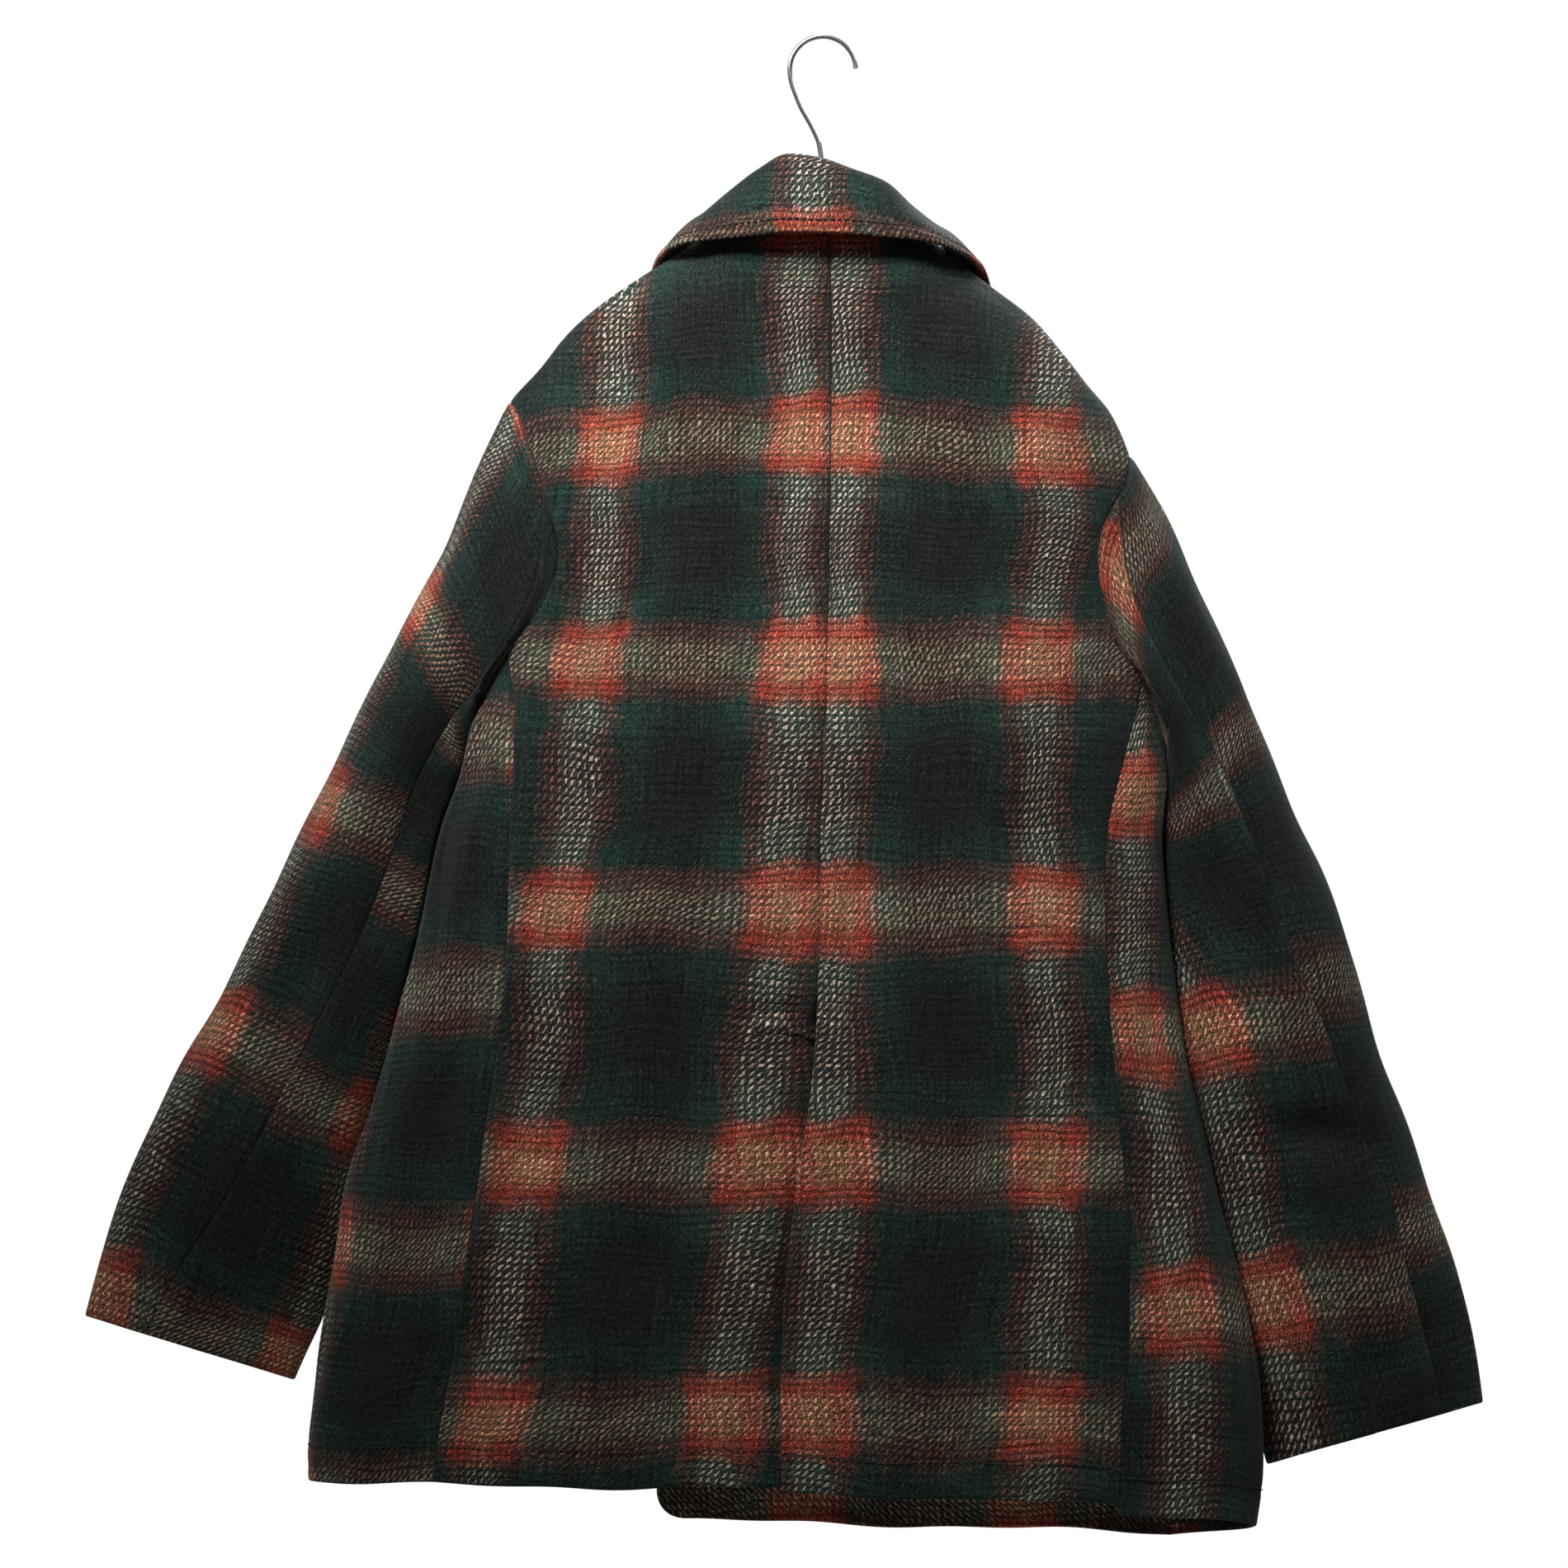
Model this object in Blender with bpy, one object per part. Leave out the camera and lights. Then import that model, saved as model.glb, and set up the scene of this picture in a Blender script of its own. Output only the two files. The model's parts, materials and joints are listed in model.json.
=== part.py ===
"""A checked wool coat hanging on a shaped hanger, cut and sewn piece by piece.

Sizes are millimetres until a mesh is made, and the parts are in metres with +Z up.
The front faces -Y, the back +Y, and the wearer's left is +X. The origin is the inner
top of the hook, where a rail bears. Places are set out on the plane through the hook,
as seen from SIGHT behind it, and place() carries each one to its own depth.
"""

import math

import bpy
import numpy as np

WALL = 3.0
SEAM_GAP = 0.36
SHOULDER_GAP = 0.72
ARM_GAP = 3.1
SLEEVE_GAP = 1.2
NECK_GAP = 2.4
COLLAR_FOOT = 1.8
SIGHT = 2400.0
EYE_X = 22.5
EYE_Z = -453.5
ORIGIN_X = 1.0
ORIGIN_Z = 2.0

FULLNESS = 0.2
SHOULDER_ROUND = 60.0

LAP_LIFT = 2.0
LAP_FADE = 30.0
VENT_TOP = -602.5
VENT_FADE = 26.0
UNDERLAP = 40.0
UNDERLAP_SHARES = (1.0, 0.5)
BACK_WIDTH = 260.0
VENT_LIFT_START = 4.0
VENT_SINK_START = 6.0
RIGHT_LAP_LIFT = (-60.0, -28.0)
LEFT_LAP_START = 112.0
LAP_CORNER = 18.0
LAP_TOP = ((38, -176), (20, -181.5))
UNDER_LAP_TOP = ((-16, -184),)

SECTION = {
    "columns": ("z", "left", "right", "back", "front", "middle"),
    "rows": (
        (-60, 202, -204, 44, 42, 0),
        (-222, 202, -204, 50, 46, 0),
        (-310, 202, -204, 52, 48, 1),
        (-400, 203, -205.5, 53, 50, 4),
        (-430, 211, -206, 53, 50, 6),
        (-480, 230, -206.5, 52, 50, 6),
        (-515, 238, -208.5, 52, 50, 6),
        (-553, 246, -212.5, 52, 50, 6),
        (-605, 260, -219, 51, 50, 6),
        (-648, 271.5, -228, 50, 50, 6),
        (-696, 287.5, -239, 50, 50, 6),
        (-731, 292, -247.5, 50, 50, 6),
        (-771, 299.5, -257, 51, 51, 6),
        (-810, 305.5, -264, 52, 52, 6),
        (-862, 311, -268, 53, 53, 6),
        (-910, 309, -263, 54, 54, 6),
    ),
}
RIDGE = {
    "columns": ("x", "z"),
    "rows": (
        (-204, -290), (-188, -254.5), (-176, -228.5), (-161.5, -211), (-145.5, -191),
        (-128.5, -171), (-104, -152), (-88, -140), (-72, -127), (-60, -113), (-45, -99),
        (-30, -89), (0, -78), (30, -87), (45, -95), (60, -107), (72, -121), (86, -131),
        (104.5, -142.5), (132, -161), (154.5, -181), (170.5, -201), (189.5, -222),
        (203, -245),
    ),
}
CENTRE_SEAM = {
    "columns": ("z", "x"),
    "rows": ((-106, -5), (-178, -6.5), (-328, -5), (-403, -2.5), (-528, 1), (-602.5, 3),
             (-634, 5), (-668, 11), (-778, 23), (-858, 25), (-884, 23.5)),
}
SIDE_BACK_SEAM = {
    "left": {
        "columns": ("z", "x"),
        "rows": ((-374.5, 190), (-417, 187), (-496, 189.5), (-575, 192.5), (-652.5, 202.5),
                 (-731.5, 213.5), (-790.5, 222), (-850, 232), (-878.5, 235)),
    },
    "right": {
        "columns": ("z", "x"),
        "rows": ((-391, -194), (-422.5, -188.5), (-466, -177), (-505.5, -172), (-538.5, -173),
                 (-608, -177), (-667.5, -182), (-726.5, -187.5), (-786, -187.5), (-849.5, -182),
                 (-896, -180)),
    },
}
SIDE_FRONT_REACH = {"left": (0.93, 0.80), "right": (0.93, 0.82)}
ARMHOLE = {
    "left": {
        "top": -222.0, "bottom": -403.0, "side_seam": 133, "elbow_seam": 65, "front_seam": 93,
        "turns": (0, 11, 24, 37, 51, 65, 79, 93, 107, 120, 133, 149, 165, 180),
        "columns": ("turn", "angle"),
        "rows": ((0, 69.7), (30, 65), (60, 58), (90, 52.3), (105, 55.5), (120, 62.5), (135, 71.5),
                 (150, 78), (165, 84), (180, 90)),
    },
    "right": {
        "top": -254.5, "bottom": -430.0, "side_seam": 124, "elbow_seam": 44, "front_seam": 92,
        "turns": (0, 11, 22, 33, 44, 60, 76, 92, 108, 124, 142, 161, 180),
        "columns": ("turn", "angle"),
        "rows": ((0, 67), (30, 66), (45, 62), (60, 57), (75, 55.5), (90, 57.5), (105, 61), (120, 70),
                 (135, 77), (150, 83), (180, 90)),
    },
}
FRONT_SCOOP = 3.0

NECK_BACK = ((0, -106), (20, -106.5), (38, -108.5), (56, -112.5), (67, -117))
NECK_FRONT = ((68, -138), (58, -156), (42, -172), (22, -181), (3, -184))
RIGHT_NECK_DROP = 6.0
SHOULDER_X = {"left": (72, 86, 104.5, 132, 160, 189.5), "right": (72, 88, 108, 134, 161.5, 188)}

LEVELS = 11
CENTRE_TOP = -106.0
CENTRE_CORNER = -370.0
HEM = {
    "back_left": (-881.5, -878.5), "side_left": (-878.5, -872.0),
    "back_right": (-883.5, -891.0), "side_right": (-896.0, -907.0),
    "front_left": (-872.0, -872.0), "front_right": (-899.0, -907.0),
}
LAP_EDGE = {
    "right": {
        "columns": ("z", "x"),
        "rows": ((-176, 38), (-300, 50), (-500, 68), (-700, 85), (-880, 100), (-893, 100)),
    },
    "left": {
        "columns": ("z", "x"),
        "rows": ((-184, -16), (-872, -12)),
    },
}

SLEEVE = {
    "left": {
        "columns": ("reach", "outer_x", "outer_z", "inner_x", "inner_z", "deep", "y", "elbow", "fore"),
        "rows": (
            (0, 190.5, -221.5, 201.5, -401.5, 40, 2, 65, 93),
            (59, 216.5, -275, 209, -416, 44, -7, 104, 98),
            (95, 232.5, -313.5, 210, -427, 45, -13, 112, 100),
            (142, 251.5, -349.5, 212, -441, 45, -19, 114, 102),
            (187, 271.5, -388.5, 214.5, -454, 44, -22, 110, 104),
            (233, 291.5, -431.5, 218, -468, 44, -24, 105, 104),
            (279, 311.5, -473.5, 226, -507, 43, -25, 104, 104),
            (335, 335, -523.5, 239, -561.5, 42, -25, 99, 102),
            (395, 361, -578.5, 256.5, -620, 39, -25, 92, 100),
            (453, 389.5, -628.5, 273.5, -674.5, 35, -24, 89, 98),
            (508, 414, -678.5, 286, -729.5, 31, -23, 82, 96),
            (562, 433, -728.5, 303.5, -780, 26, -22, 72, 94),
            (610, 445, -776, 319.5, -814.5, 21, -20, 64, 92),
        ),
    },
    "right": {
        "columns": ("reach", "outer_x", "outer_z", "inner_x", "inner_z", "deep", "y", "elbow", "fore"),
        "rows": (
            (0, -189, -254, -203, -428.5, 38, 2, 44, 92),
            (54, -216.5, -301, -208, -443, 43, -7, 72, 96),
            (95, -232.5, -337.5, -206, -453, 45, -14, 77, 98),
            (137, -250, -376, -203, -464, 45, -20, 79, 100),
            (183, -267.5, -418.5, -201, -477, 45, -24, 76, 100),
            (232, -285, -464.5, -199.5, -495, 44, -26, 71, 100),
            (279, -304.5, -507.5, -203, -533.5, 43, -27, 71, 100),
            (335, -322.5, -561, -208, -586, 41, -26, 63, 98),
            (384, -334.5, -608.5, -216, -633.5, 39, -26, 53, 96),
            (432, -351.5, -653.5, -226.5, -678.5, 36, -25, 52, 94),
            (485, -369, -703.5, -237.5, -728.5, 32, -24, 48, 92),
            (533, -384.5, -748.5, -248.5, -778.5, 28, -23, 52, 90),
            (574, -395, -788.5, -258.5, -823.5, 24, -22, 51, 90),
            (614, -400, -828.5, -270.5, -865.5, 20, -20, 48, 90),
        ),
    },
}
SLEEVE_SETTLE = 170.0
SLEEVE_STEPS = (0, 9, 22, 40, 65, 95, 130, 170, 215, 265, 320, 375, 430, 485, 540, 585, 1000)
SLEEVE_FULLNESS = 0.15
SLEEVE_CLEAR = 1.3
RIM_REACH = 25.0
RIM_FROM = 150.0
RIM_FULL = 110.0
SPREAD_REACH = 200.0

SLEEVE_FOLDS = {
    "columns": ("turn", "reach", "end_turn", "end_reach", "width", "depth"),
    "left": (
        (100, 80, 125, 210, 22, 5.0),
        (118, 200, 108, 330, 18, 4.0),
        (70, 300, 75, 470, 16, 4.0),
        (250, 120, 235, 260, 18, 6.0),
        (290, 330, 270, 450, 16, 4.0),
    ),
    "right": (
        (62, 80, 98, 200, 20, 5.0),
        (95, 190, 105, 300, 18, 4.0),
        (55, 445, 105, 425, 15, 7.0),
        (35, 560, 95, 585, 12, 3.0),
        (255, 120, 240, 260, 18, 6.0),
        (285, 420, 250, 400, 16, 5.0),
    ),
}
DEGREE = 0.9
FOLD_ENDS = 0.35
FOLD_FROM = 6.0
FOLD_FULL = 60.0
FLUTES = {
    "columns": ("angle", "spread", "depth"),
    "rows": ((-28, 9, 0.09), (-6, 8, -0.07), (22, 9, 0.08), (38, 7, -0.10), (-48, 6, -0.06),
             (150, 9, 0.08), (168, 7, -0.07), (-142, 9, 0.08), (-166, 8, -0.07)),
}
FLUTE_TOP = -430.0
FLUTE_FULL = -860.0

COLLAR = {
    "columns": ("roll_x", "roll_y", "roll_z", "edge_x", "edge_y", "edge_z"),
    "left": (
        (3, 51, -76, 0, 61, -118),
        (20, 48, -74, 20, 60, -117.5),
        (38, 42, -83.5, 40, 57, -119.5),
        (57, 30, -98, 60, 50, -121.5),
        (71, 17, -109, 78, 38, -123.5),
        (80, 2, -116, 92, 20, -128.5),
        (80, -27, -126, 99, -8, -136),
        (72, -45, -139, 104, -36, -156),
        (56, -52, -154, 100, -51, -186),
        (34, -58, -168, 88, -57, -212),
        (12, -60, -178, 70, -60, -236),
    ),
    "right": (
        (3, 51, -76, 0, 61, -118),
        (-18, 48, -83, -18, 60, -118.5),
        (-38, 42, -90.5, -38, 57, -120.5),
        (-55, 30, -105, -60, 50, -122.5),
        (-69, 17, -115.5, -77, 38, -127),
        (-80, 2, -123, -90, 20, -134),
        (-81, -27, -133, -97.5, -8, -141.5),
        (-73, -45, -145, -103, -36, -162),
        (-57, -52, -158, -99, -51, -190),
        (-35, -58, -170, -87, -57, -215),
        (-12, -60, -179, -69, -60, -238),
    ),
}
COLLAR_ROLL = 1.1
COLLAR_STEPS = (0, 0.14, 0.28, 0.38, 0.46, 0.54, 0.62, 0.72, 0.80, 0.85, 0.90, 0.96, 1)
COLLAR_WALL = {"columns": ("step", "half"),
               "rows": ((0, 1.5), (0.78, 1.5), (0.85, 1.0), (0.91, 2.0), (0.96, 2.0), (1, 1.4))}

BUTTON_HEIGHTS = (-222.0, -382.0, -542.0, -702.0)
BUTTON_INSET = 26.0
BUTTON_HOLE = 1.3
BUTTON_SIDES = 28
HOLE_REACH = 3.4
HOLE_SIDES = 8
HOLE_HEIGHTS = (-1.0, 6.0)
BUTTON_PROFILE = ((0.0, 2.2), (7.6, 2.2), (9.4, 3.0), (11.2, 4.0), (12.4, 3.8), (13.0, 2.7),
                  (12.6, 1.2), (11.0, 0.4), (0.0, 0.4))

HANGER = {
    "columns": ("x", "z", "high", "deep"),
    "rows": (
        (-160, -232, 6, 15), (-150, -219, 8, 17), (-132, -196, 8, 16), (-104, -172.5, 8, 14),
        (-72, -148, 9, 10), (-36, -127, 10, 8), (0, -115, 11, 8), (36, -122, 10, 8), (72, -142, 9, 10),
        (104, -163, 8, 14), (132, -182, 8, 16), (150, -199, 8, 17), (160, -211, 6, 15),
    ),
}
HANGER_SIDES = 16
HANGER_SECTIONS = 30
HANGER_END = 0.45

WIRE = 1.5
HOOK_X = -1.0
HOOK_Z = -20.5
HOOK_RADIUS = 20.0
HOOK_END_TURN = -88
HOOK_START_TURN = 100
HOOK_TURN_STEP = 8
HOOK_SECTIONS = 56
HOOK_SIDES = 10
STEM = ((13.5, -40.5), (5, -56.5), (1.2, -66), (0, -76), (0, -88), (0, -104.1))

CLOTH = (0.06, 0.08, 0.07, 1)
HORN = (0.03, 0.02, 0.015, 1)
WOOD = (0.35, 0.2, 0.1, 1)
STEEL = (0.6, 0.6, 0.6, 1)


def smooth(at, xs, ys):
    """A curve through table points that never overshoots them, and runs on straight past its ends."""
    xs = np.asarray(xs, float)
    ys = np.asarray(ys, float)
    if xs[0] > xs[-1]:
        xs = xs[::-1]
        ys = ys[::-1]
    run = np.diff(xs)
    slope = np.diff(ys) / run
    lean = np.empty(len(xs))
    lean[0] = slope[0]
    lean[-1] = slope[-1]
    same = slope[:-1] * slope[1:] > 0
    total = np.where(same, slope[:-1] + slope[1:], 1.0)
    lean[1:-1] = np.where(same, 2 * slope[:-1] * slope[1:] / total, 0.0)
    inside = np.clip(at, xs[0], xs[-1])
    past = at - inside
    i = np.clip(np.searchsorted(xs, inside, side="right") - 1, 0, len(run) - 1)
    t = (inside - xs[i]) / run[i]
    rise = lean[i] * (t - 2 * t**2 + t**3) + lean[i + 1] * (t**3 - t**2)
    value = ys[i] * (1 - 3 * t**2 + 2 * t**3) + ys[i + 1] * (3 * t**2 - 2 * t**3) + rise * run[i]
    return value + past * np.where(past < 0, lean[0], lean[-1])


def read(table, name, at):
    """One named column of a table, at any value of its first column."""
    column = table["columns"].index(name)
    rows = np.array(table["rows"], float)
    return smooth(at, rows[:, 0], rows[:, column])


def fade(value, start, end):
    """0 at start and before it, 1 at end and past it, smooth between."""
    t = np.clip((value - start) / (end - start), 0, 1)
    return t * t * (3 - 2 * t)


def place(x, y, z):
    """Carries a place on the hook's plane along the line of sight to depth y."""
    scale = 1 - y / SIGHT
    return np.stack(
        [EYE_X + (x - EYE_X) * scale + ORIGIN_X, y + 0 * scale, EYE_Z + (z - EYE_Z) * scale + ORIGIN_Z],
        axis=-1,
    )


def ridge(x):
    rows = np.array(RIDGE["rows"], float)
    return smooth(x, rows[:, 0], rows[:, 1])


def centre_and_half(z):
    left = read(SECTION, "left", z)
    right = read(SECTION, "right", z)
    return (left + right) / 2, (left - right) / 2


def flutes(angle, z):
    """Soft drape below the chest, as a share of the section's depth."""
    swell = 0 * angle
    for middle, spread, depth in FLUTES["rows"]:
        off = (np.degrees(angle) - middle + 180) % 360 - 180
        swell = swell + depth * np.exp(-((off / spread) ** 2))
    return swell * fade(z, FLUTE_TOP, FLUTE_FULL)


def body(angle, z):
    """The body's outer face: angle 0 is the back, +90 degrees the wearer's left side."""
    angle = np.asarray(angle, float)
    z = np.asarray(z, float)
    centre, half = centre_and_half(z)
    x = centre + half * np.sin(angle)
    deep = np.where(np.cos(angle) > 0, read(SECTION, "back", z), read(SECTION, "front", z))
    drop = np.clip((ridge(x) - z) / SHOULDER_ROUND, 0, 1)
    top = np.sqrt(1 - (1 - drop) ** 2)
    round_off = np.cos(angle) * (1 + FULLNESS * np.sin(angle) ** 2)
    y = read(SECTION, "middle", z) + top * deep * round_off * (1 + flutes(angle, z))
    return place(x, y, z)


def back_angle(x, z):
    centre, half = centre_and_half(z)
    return np.arcsin(np.clip((x - centre) / half, -1, 1))


def front_angle(x, z):
    return math.pi - back_angle(x, z)


def normals(surface, a, b, step_a, step_b):
    """Unit normals of a surface with two parameters, from its own slopes."""
    along_a = surface(a + step_a, b) - surface(a - step_a, b)
    along_b = surface(a, b + step_b) - surface(a, b - step_b)
    out = np.cross(along_a, along_b)
    return out / np.linalg.norm(out, axis=-1, keepdims=True)


def body_normals(angle, z):
    return -normals(body, angle, z, 0.002, 0.04)


def armhole(side, turn):
    """Angle and height on the body at a turn round the armhole: 0 top, 180 bottom."""
    table = ARMHOLE[side]
    turn = np.asarray(turn, float)
    back = turn <= 180
    near = np.where(back, turn, 360 - turn)
    z = table["top"] + (table["bottom"] - table["top"]) * (1 - np.cos(np.radians(near))) / 2
    angle = np.radians(read(table, "angle", near))
    scoop = math.radians(FRONT_SCOOP) * np.sin(np.radians(near)) ** 2
    angle = np.where(back, angle, math.pi - angle + scoop)
    if side == "right":
        angle = -angle
    return angle, z


def mesh_object(name, points, faces, colour):
    """Closed object in metres, faces outwards, with its own material."""
    points = np.asarray(points, float) * 0.001
    mesh = bpy.data.meshes.new(name)
    volume = 0.0
    for face in faces:
        for i in range(1, len(face) - 1):
            a, b, c = points[face[0]], points[face[i]], points[face[i + 1]]
            volume += np.dot(a, np.cross(b, c))
    if volume < 0:
        faces = [tuple(reversed(face)) for face in faces]
    mesh.from_pydata([tuple(p) for p in points], [], faces)
    mesh.validate()
    material = bpy.data.materials.new(name)
    material.use_nodes = True
    material.node_tree.nodes["Principled BSDF"].inputs["Base Color"].default_value = colour
    mesh.materials.append(material)
    thing = bpy.data.objects.new(name, mesh)
    bpy.context.collection.objects.link(thing)
    return thing


def pulled_in(grid, gap, sides):
    """Moves a grid's edge rows and columns inwards along the cloth, to leave a seam gap."""
    grid = grid.copy()
    for side in sides:
        view = grid if side in ("top", "bottom") else np.swapaxes(grid, 0, 1)
        edge, inner = (0, 1) if side in ("top", "left") else (-1, -2)
        step = view[inner] - view[edge]
        length = np.linalg.norm(step, axis=-1, keepdims=True)
        share = np.minimum(np.reshape(gap, (-1, 1)), length * 0.4)
        view[edge] = view[edge] + step / np.maximum(length, 1e-6) * share
    return grid


def shell(name, outer, inner, keep=None):
    """One closed solid between two grids of points, with a rim round what is kept."""
    rows, columns = outer.shape[:2]
    inside = rows * columns
    points = np.concatenate([outer.reshape(-1, 3), inner.reshape(-1, 3)])
    faces = []
    edges = {}
    for i in range(rows - 1):
        for j in range(columns - 1):
            if keep is not None and not keep[i, j]:
                continue
            k = j + 1
            a, b, c, d = i * columns + j, i * columns + k, (i + 1) * columns + k, (i + 1) * columns + j
            faces.append((a, b, c))
            faces.append((a, c, d))
            faces.append((inside + c, inside + b, inside + a))
            faces.append((inside + d, inside + c, inside + a))
            for start, end in ((a, b), (b, c), (c, d), (d, a)):
                if (end, start) in edges:
                    del edges[(end, start)]
                else:
                    edges[(start, end)] = True
    for start, end in edges:
        faces.append((end, start, inside + start))
        faces.append((end, inside + start, inside + end))
    used = sorted({corner for face in faces for corner in face})
    renumber = {old: new for new, old in enumerate(used)}
    faces = [tuple(renumber[corner] for corner in face) for face in faces]
    return mesh_object(name, points[used], faces, CLOTH)


def patch(top, bottom, left, right):
    """Fills four border lines of (angle, z) with a grid."""
    columns = len(top)
    rows = len(left)
    a = np.linspace(0, 1, columns)[None, :, None]
    b = np.linspace(0, 1, rows)[:, None, None]
    flat = (1 - b) * top[None] + b * bottom[None] + (1 - a) * left[:, None] + a * right[:, None]
    corners = (1 - a) * (1 - b) * top[0] + a * (1 - b) * top[-1]
    corners = corners + (1 - a) * b * bottom[0] + a * b * bottom[-1]
    return flat - corners


def between(start, end, count):
    return start + (end - start) * np.linspace(0, 1, count)


def lines(xs, zs, angle_of):
    xs = np.asarray(xs, float)
    zs = np.asarray(zs, float)
    return np.stack([angle_of(xs, zs), zs], axis=-1)


def sewn_heights(side):
    """Heights shared by the panels on both sides of a long seam, down from the armhole."""
    turn = ARMHOLE[side]["side_seam"]
    top = armhole(side, turn)[1]
    return between(top, HEM["back_" + side][1], LEVELS + 1)


def side_front_line(side, heights):
    """The seam between side and front, from the armhole to the hem."""
    start = armhole(side, 360 - ARMHOLE[side]["side_seam"])[0]
    share = np.linspace(0, 1, len(heights))
    sign = 1 if side == "left" else -1
    high, low = SIDE_FRONT_REACH[side]
    reach = np.degrees(np.arcsin(high + (low - high) * share))
    target = sign * np.radians(180 - reach)
    pull = fade(share, 0, 0.25)
    return np.stack([start * (1 - pull) + target * pull, heights], axis=-1)


def side_back_line(side, heights):
    table = SIDE_BACK_SEAM[side]
    line = lines(read(table, "x", heights), heights, back_angle)
    line[0, 0] = armhole(side, ARMHOLE[side]["side_seam"])[0]
    return line


def ring_turns(side, first, last):
    turns = [turn for turn in ARMHOLE[side]["turns"] if first <= turn <= last]
    return np.array(turns, float)


def armhole_line(side, turns):
    angle, z = armhole(side, turns)
    return np.stack([angle, z], axis=-1)


def side_sign(side):
    return 1 if side == "left" else -1


def neck_rows(rows, side):
    """Neckline points on one side; the right side neck point sits a little lower."""
    table = np.array(rows, float)
    if side == "right":
        table[:, 1] -= RIGHT_NECK_DROP * np.abs(table[:, 0]) / SHOULDER_X["right"][0]
        table[:, 0] *= -1
    return table


def shoulder_line(side, angle_of):
    xs = side_sign(side) * np.array(SHOULDER_X[side], float)
    zs = ridge(xs)
    line = lines(xs, zs, angle_of)
    if angle_of is back_angle:
        line[-1] = armhole(side, 0)
    else:
        line[-1] = front_turned(np.array(armhole(side, 360)))
    return line


def front_turned(line):
    """The same places with their angles counted from the back by way of the left side."""
    turned = line.copy()
    turned[..., 0] = turned[..., 0] % (2 * math.pi)
    return turned


def panel_solid(name, grid, lift, gaps, keep=None, arm_rows=0):
    """A panel from a grid of (angle, z), lifted off the body's face where it laps.

    gaps gives what is trimmed from each edge; the first arm_rows of the right edge are
    the armhole, which is trimmed more.
    """
    angle = grid[..., 0]
    z = grid[..., 1]
    out = body_normals(angle, z)
    outer = body(angle, z) + out * lift[..., None]
    inner = outer - out * WALL
    for edge, gap in gaps.items():
        share = np.full(len(outer) if edge in ("left", "right") else outer.shape[1], gap / 2)
        if edge == "right":
            share[:arm_rows] = ARM_GAP / 2
        outer = pulled_in(outer, share, (edge,))
        inner = pulled_in(inner, share, (edge,))
    return shell(name, outer, inner, keep)


def grid_x(grid):
    centre, half = centre_and_half(grid[..., 1])
    return centre + half * np.sin(grid[..., 0])


def back_panel(side):
    """Half of the back. Below the vent top the left half runs on under the right one."""
    name = "back_" + side
    turns = ring_turns(side, 0, ARMHOLE[side]["side_seam"])
    high = CENTRE_TOP + (CENTRE_CORNER - CENTRE_TOP) * np.linspace(0, 1, len(turns)) ** 1.25
    low = between(CENTRE_CORNER, HEM[name][0], LEVELS + 1)[1:]
    heights = np.concatenate([high, low])
    centre = lines(read(CENTRE_SEAM, "x", heights), heights, back_angle)
    outer = np.concatenate([armhole_line(side, turns), side_back_line(side, sewn_heights(side))[1:]])
    neck = neck_rows(NECK_BACK, side)
    neck[0, 0] = read(CENTRE_SEAM, "x", CENTRE_TOP)
    top = np.concatenate([lines(neck[:, 0], neck[:, 1], back_angle), shoulder_line(side, back_angle)])
    bottom = straight_hem(centre[-1], outer[-1], len(top))
    grid = patch(top, bottom, centre, outer)
    edge = read(CENTRE_SEAM, "x", grid[..., 1])
    ramp = fade(grid[..., 1], VENT_TOP + VENT_FADE, VENT_TOP)
    off = (grid_x(grid) - edge) * side_sign("left")
    if side == "right":
        lift = LAP_LIFT * ramp * fade(off, -UNDERLAP - LAP_FADE, -UNDERLAP - VENT_LIFT_START)
        gaps = {"top": SHOULDER_GAP, "left": SEAM_GAP, "right": SEAM_GAP}
        return panel_solid(name, grid, lift, gaps, None, len(turns))
    under = [grid[:, 0] - np.array([UNDERLAP * share / BACK_WIDTH, 0]) for share in UNDERLAP_SHARES]
    wide = np.concatenate([np.stack(under, axis=1), grid], axis=1)
    edge = read(CENTRE_SEAM, "x", wide[..., 1])
    ramp = fade(wide[..., 1], VENT_TOP + VENT_FADE, VENT_TOP)
    beyond = grid_x(wide) - edge - VENT_SINK_START
    lift = -LAP_LIFT * ramp * (1 - fade(beyond, 0, LAP_FADE))
    keep = np.ones((wide.shape[0] - 1, wide.shape[1] - 1), bool)
    extra = len(UNDERLAP_SHARES)
    keep[:, :extra] = (wide[:-1, extra, 1] <= VENT_TOP + 1)[:, None]
    return panel_solid(name, wide, lift, {"top": SHOULDER_GAP, "right": SEAM_GAP}, keep, len(turns))


def straight_hem(start, end, count):
    return start + (end - start) * np.linspace(0, 1, count)[:, None]


def side_panel(side):
    name = "side_" + side
    seam = ARMHOLE[side]["side_seam"]
    turns = ring_turns(side, seam, 180)
    turns = np.concatenate([turns, 360 - turns[-2::-1]])
    heights = sewn_heights(side)
    back_heights = heights.copy()
    back_heights[-1] = HEM[name][0]
    front_heights = between(heights[0], HEM[name][1], len(heights))
    left = side_back_line(side, back_heights)
    right = side_front_line(side, front_heights)
    top = armhole_line(side, turns)
    bottom = straight_hem(left[-1], right[-1], len(top))
    grid = patch(top, bottom, left, right)
    gaps = {"top": ARM_GAP, "left": SEAM_GAP, "right": SEAM_GAP}
    return panel_solid(name, grid, 0 * grid[..., 0], gaps)


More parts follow.
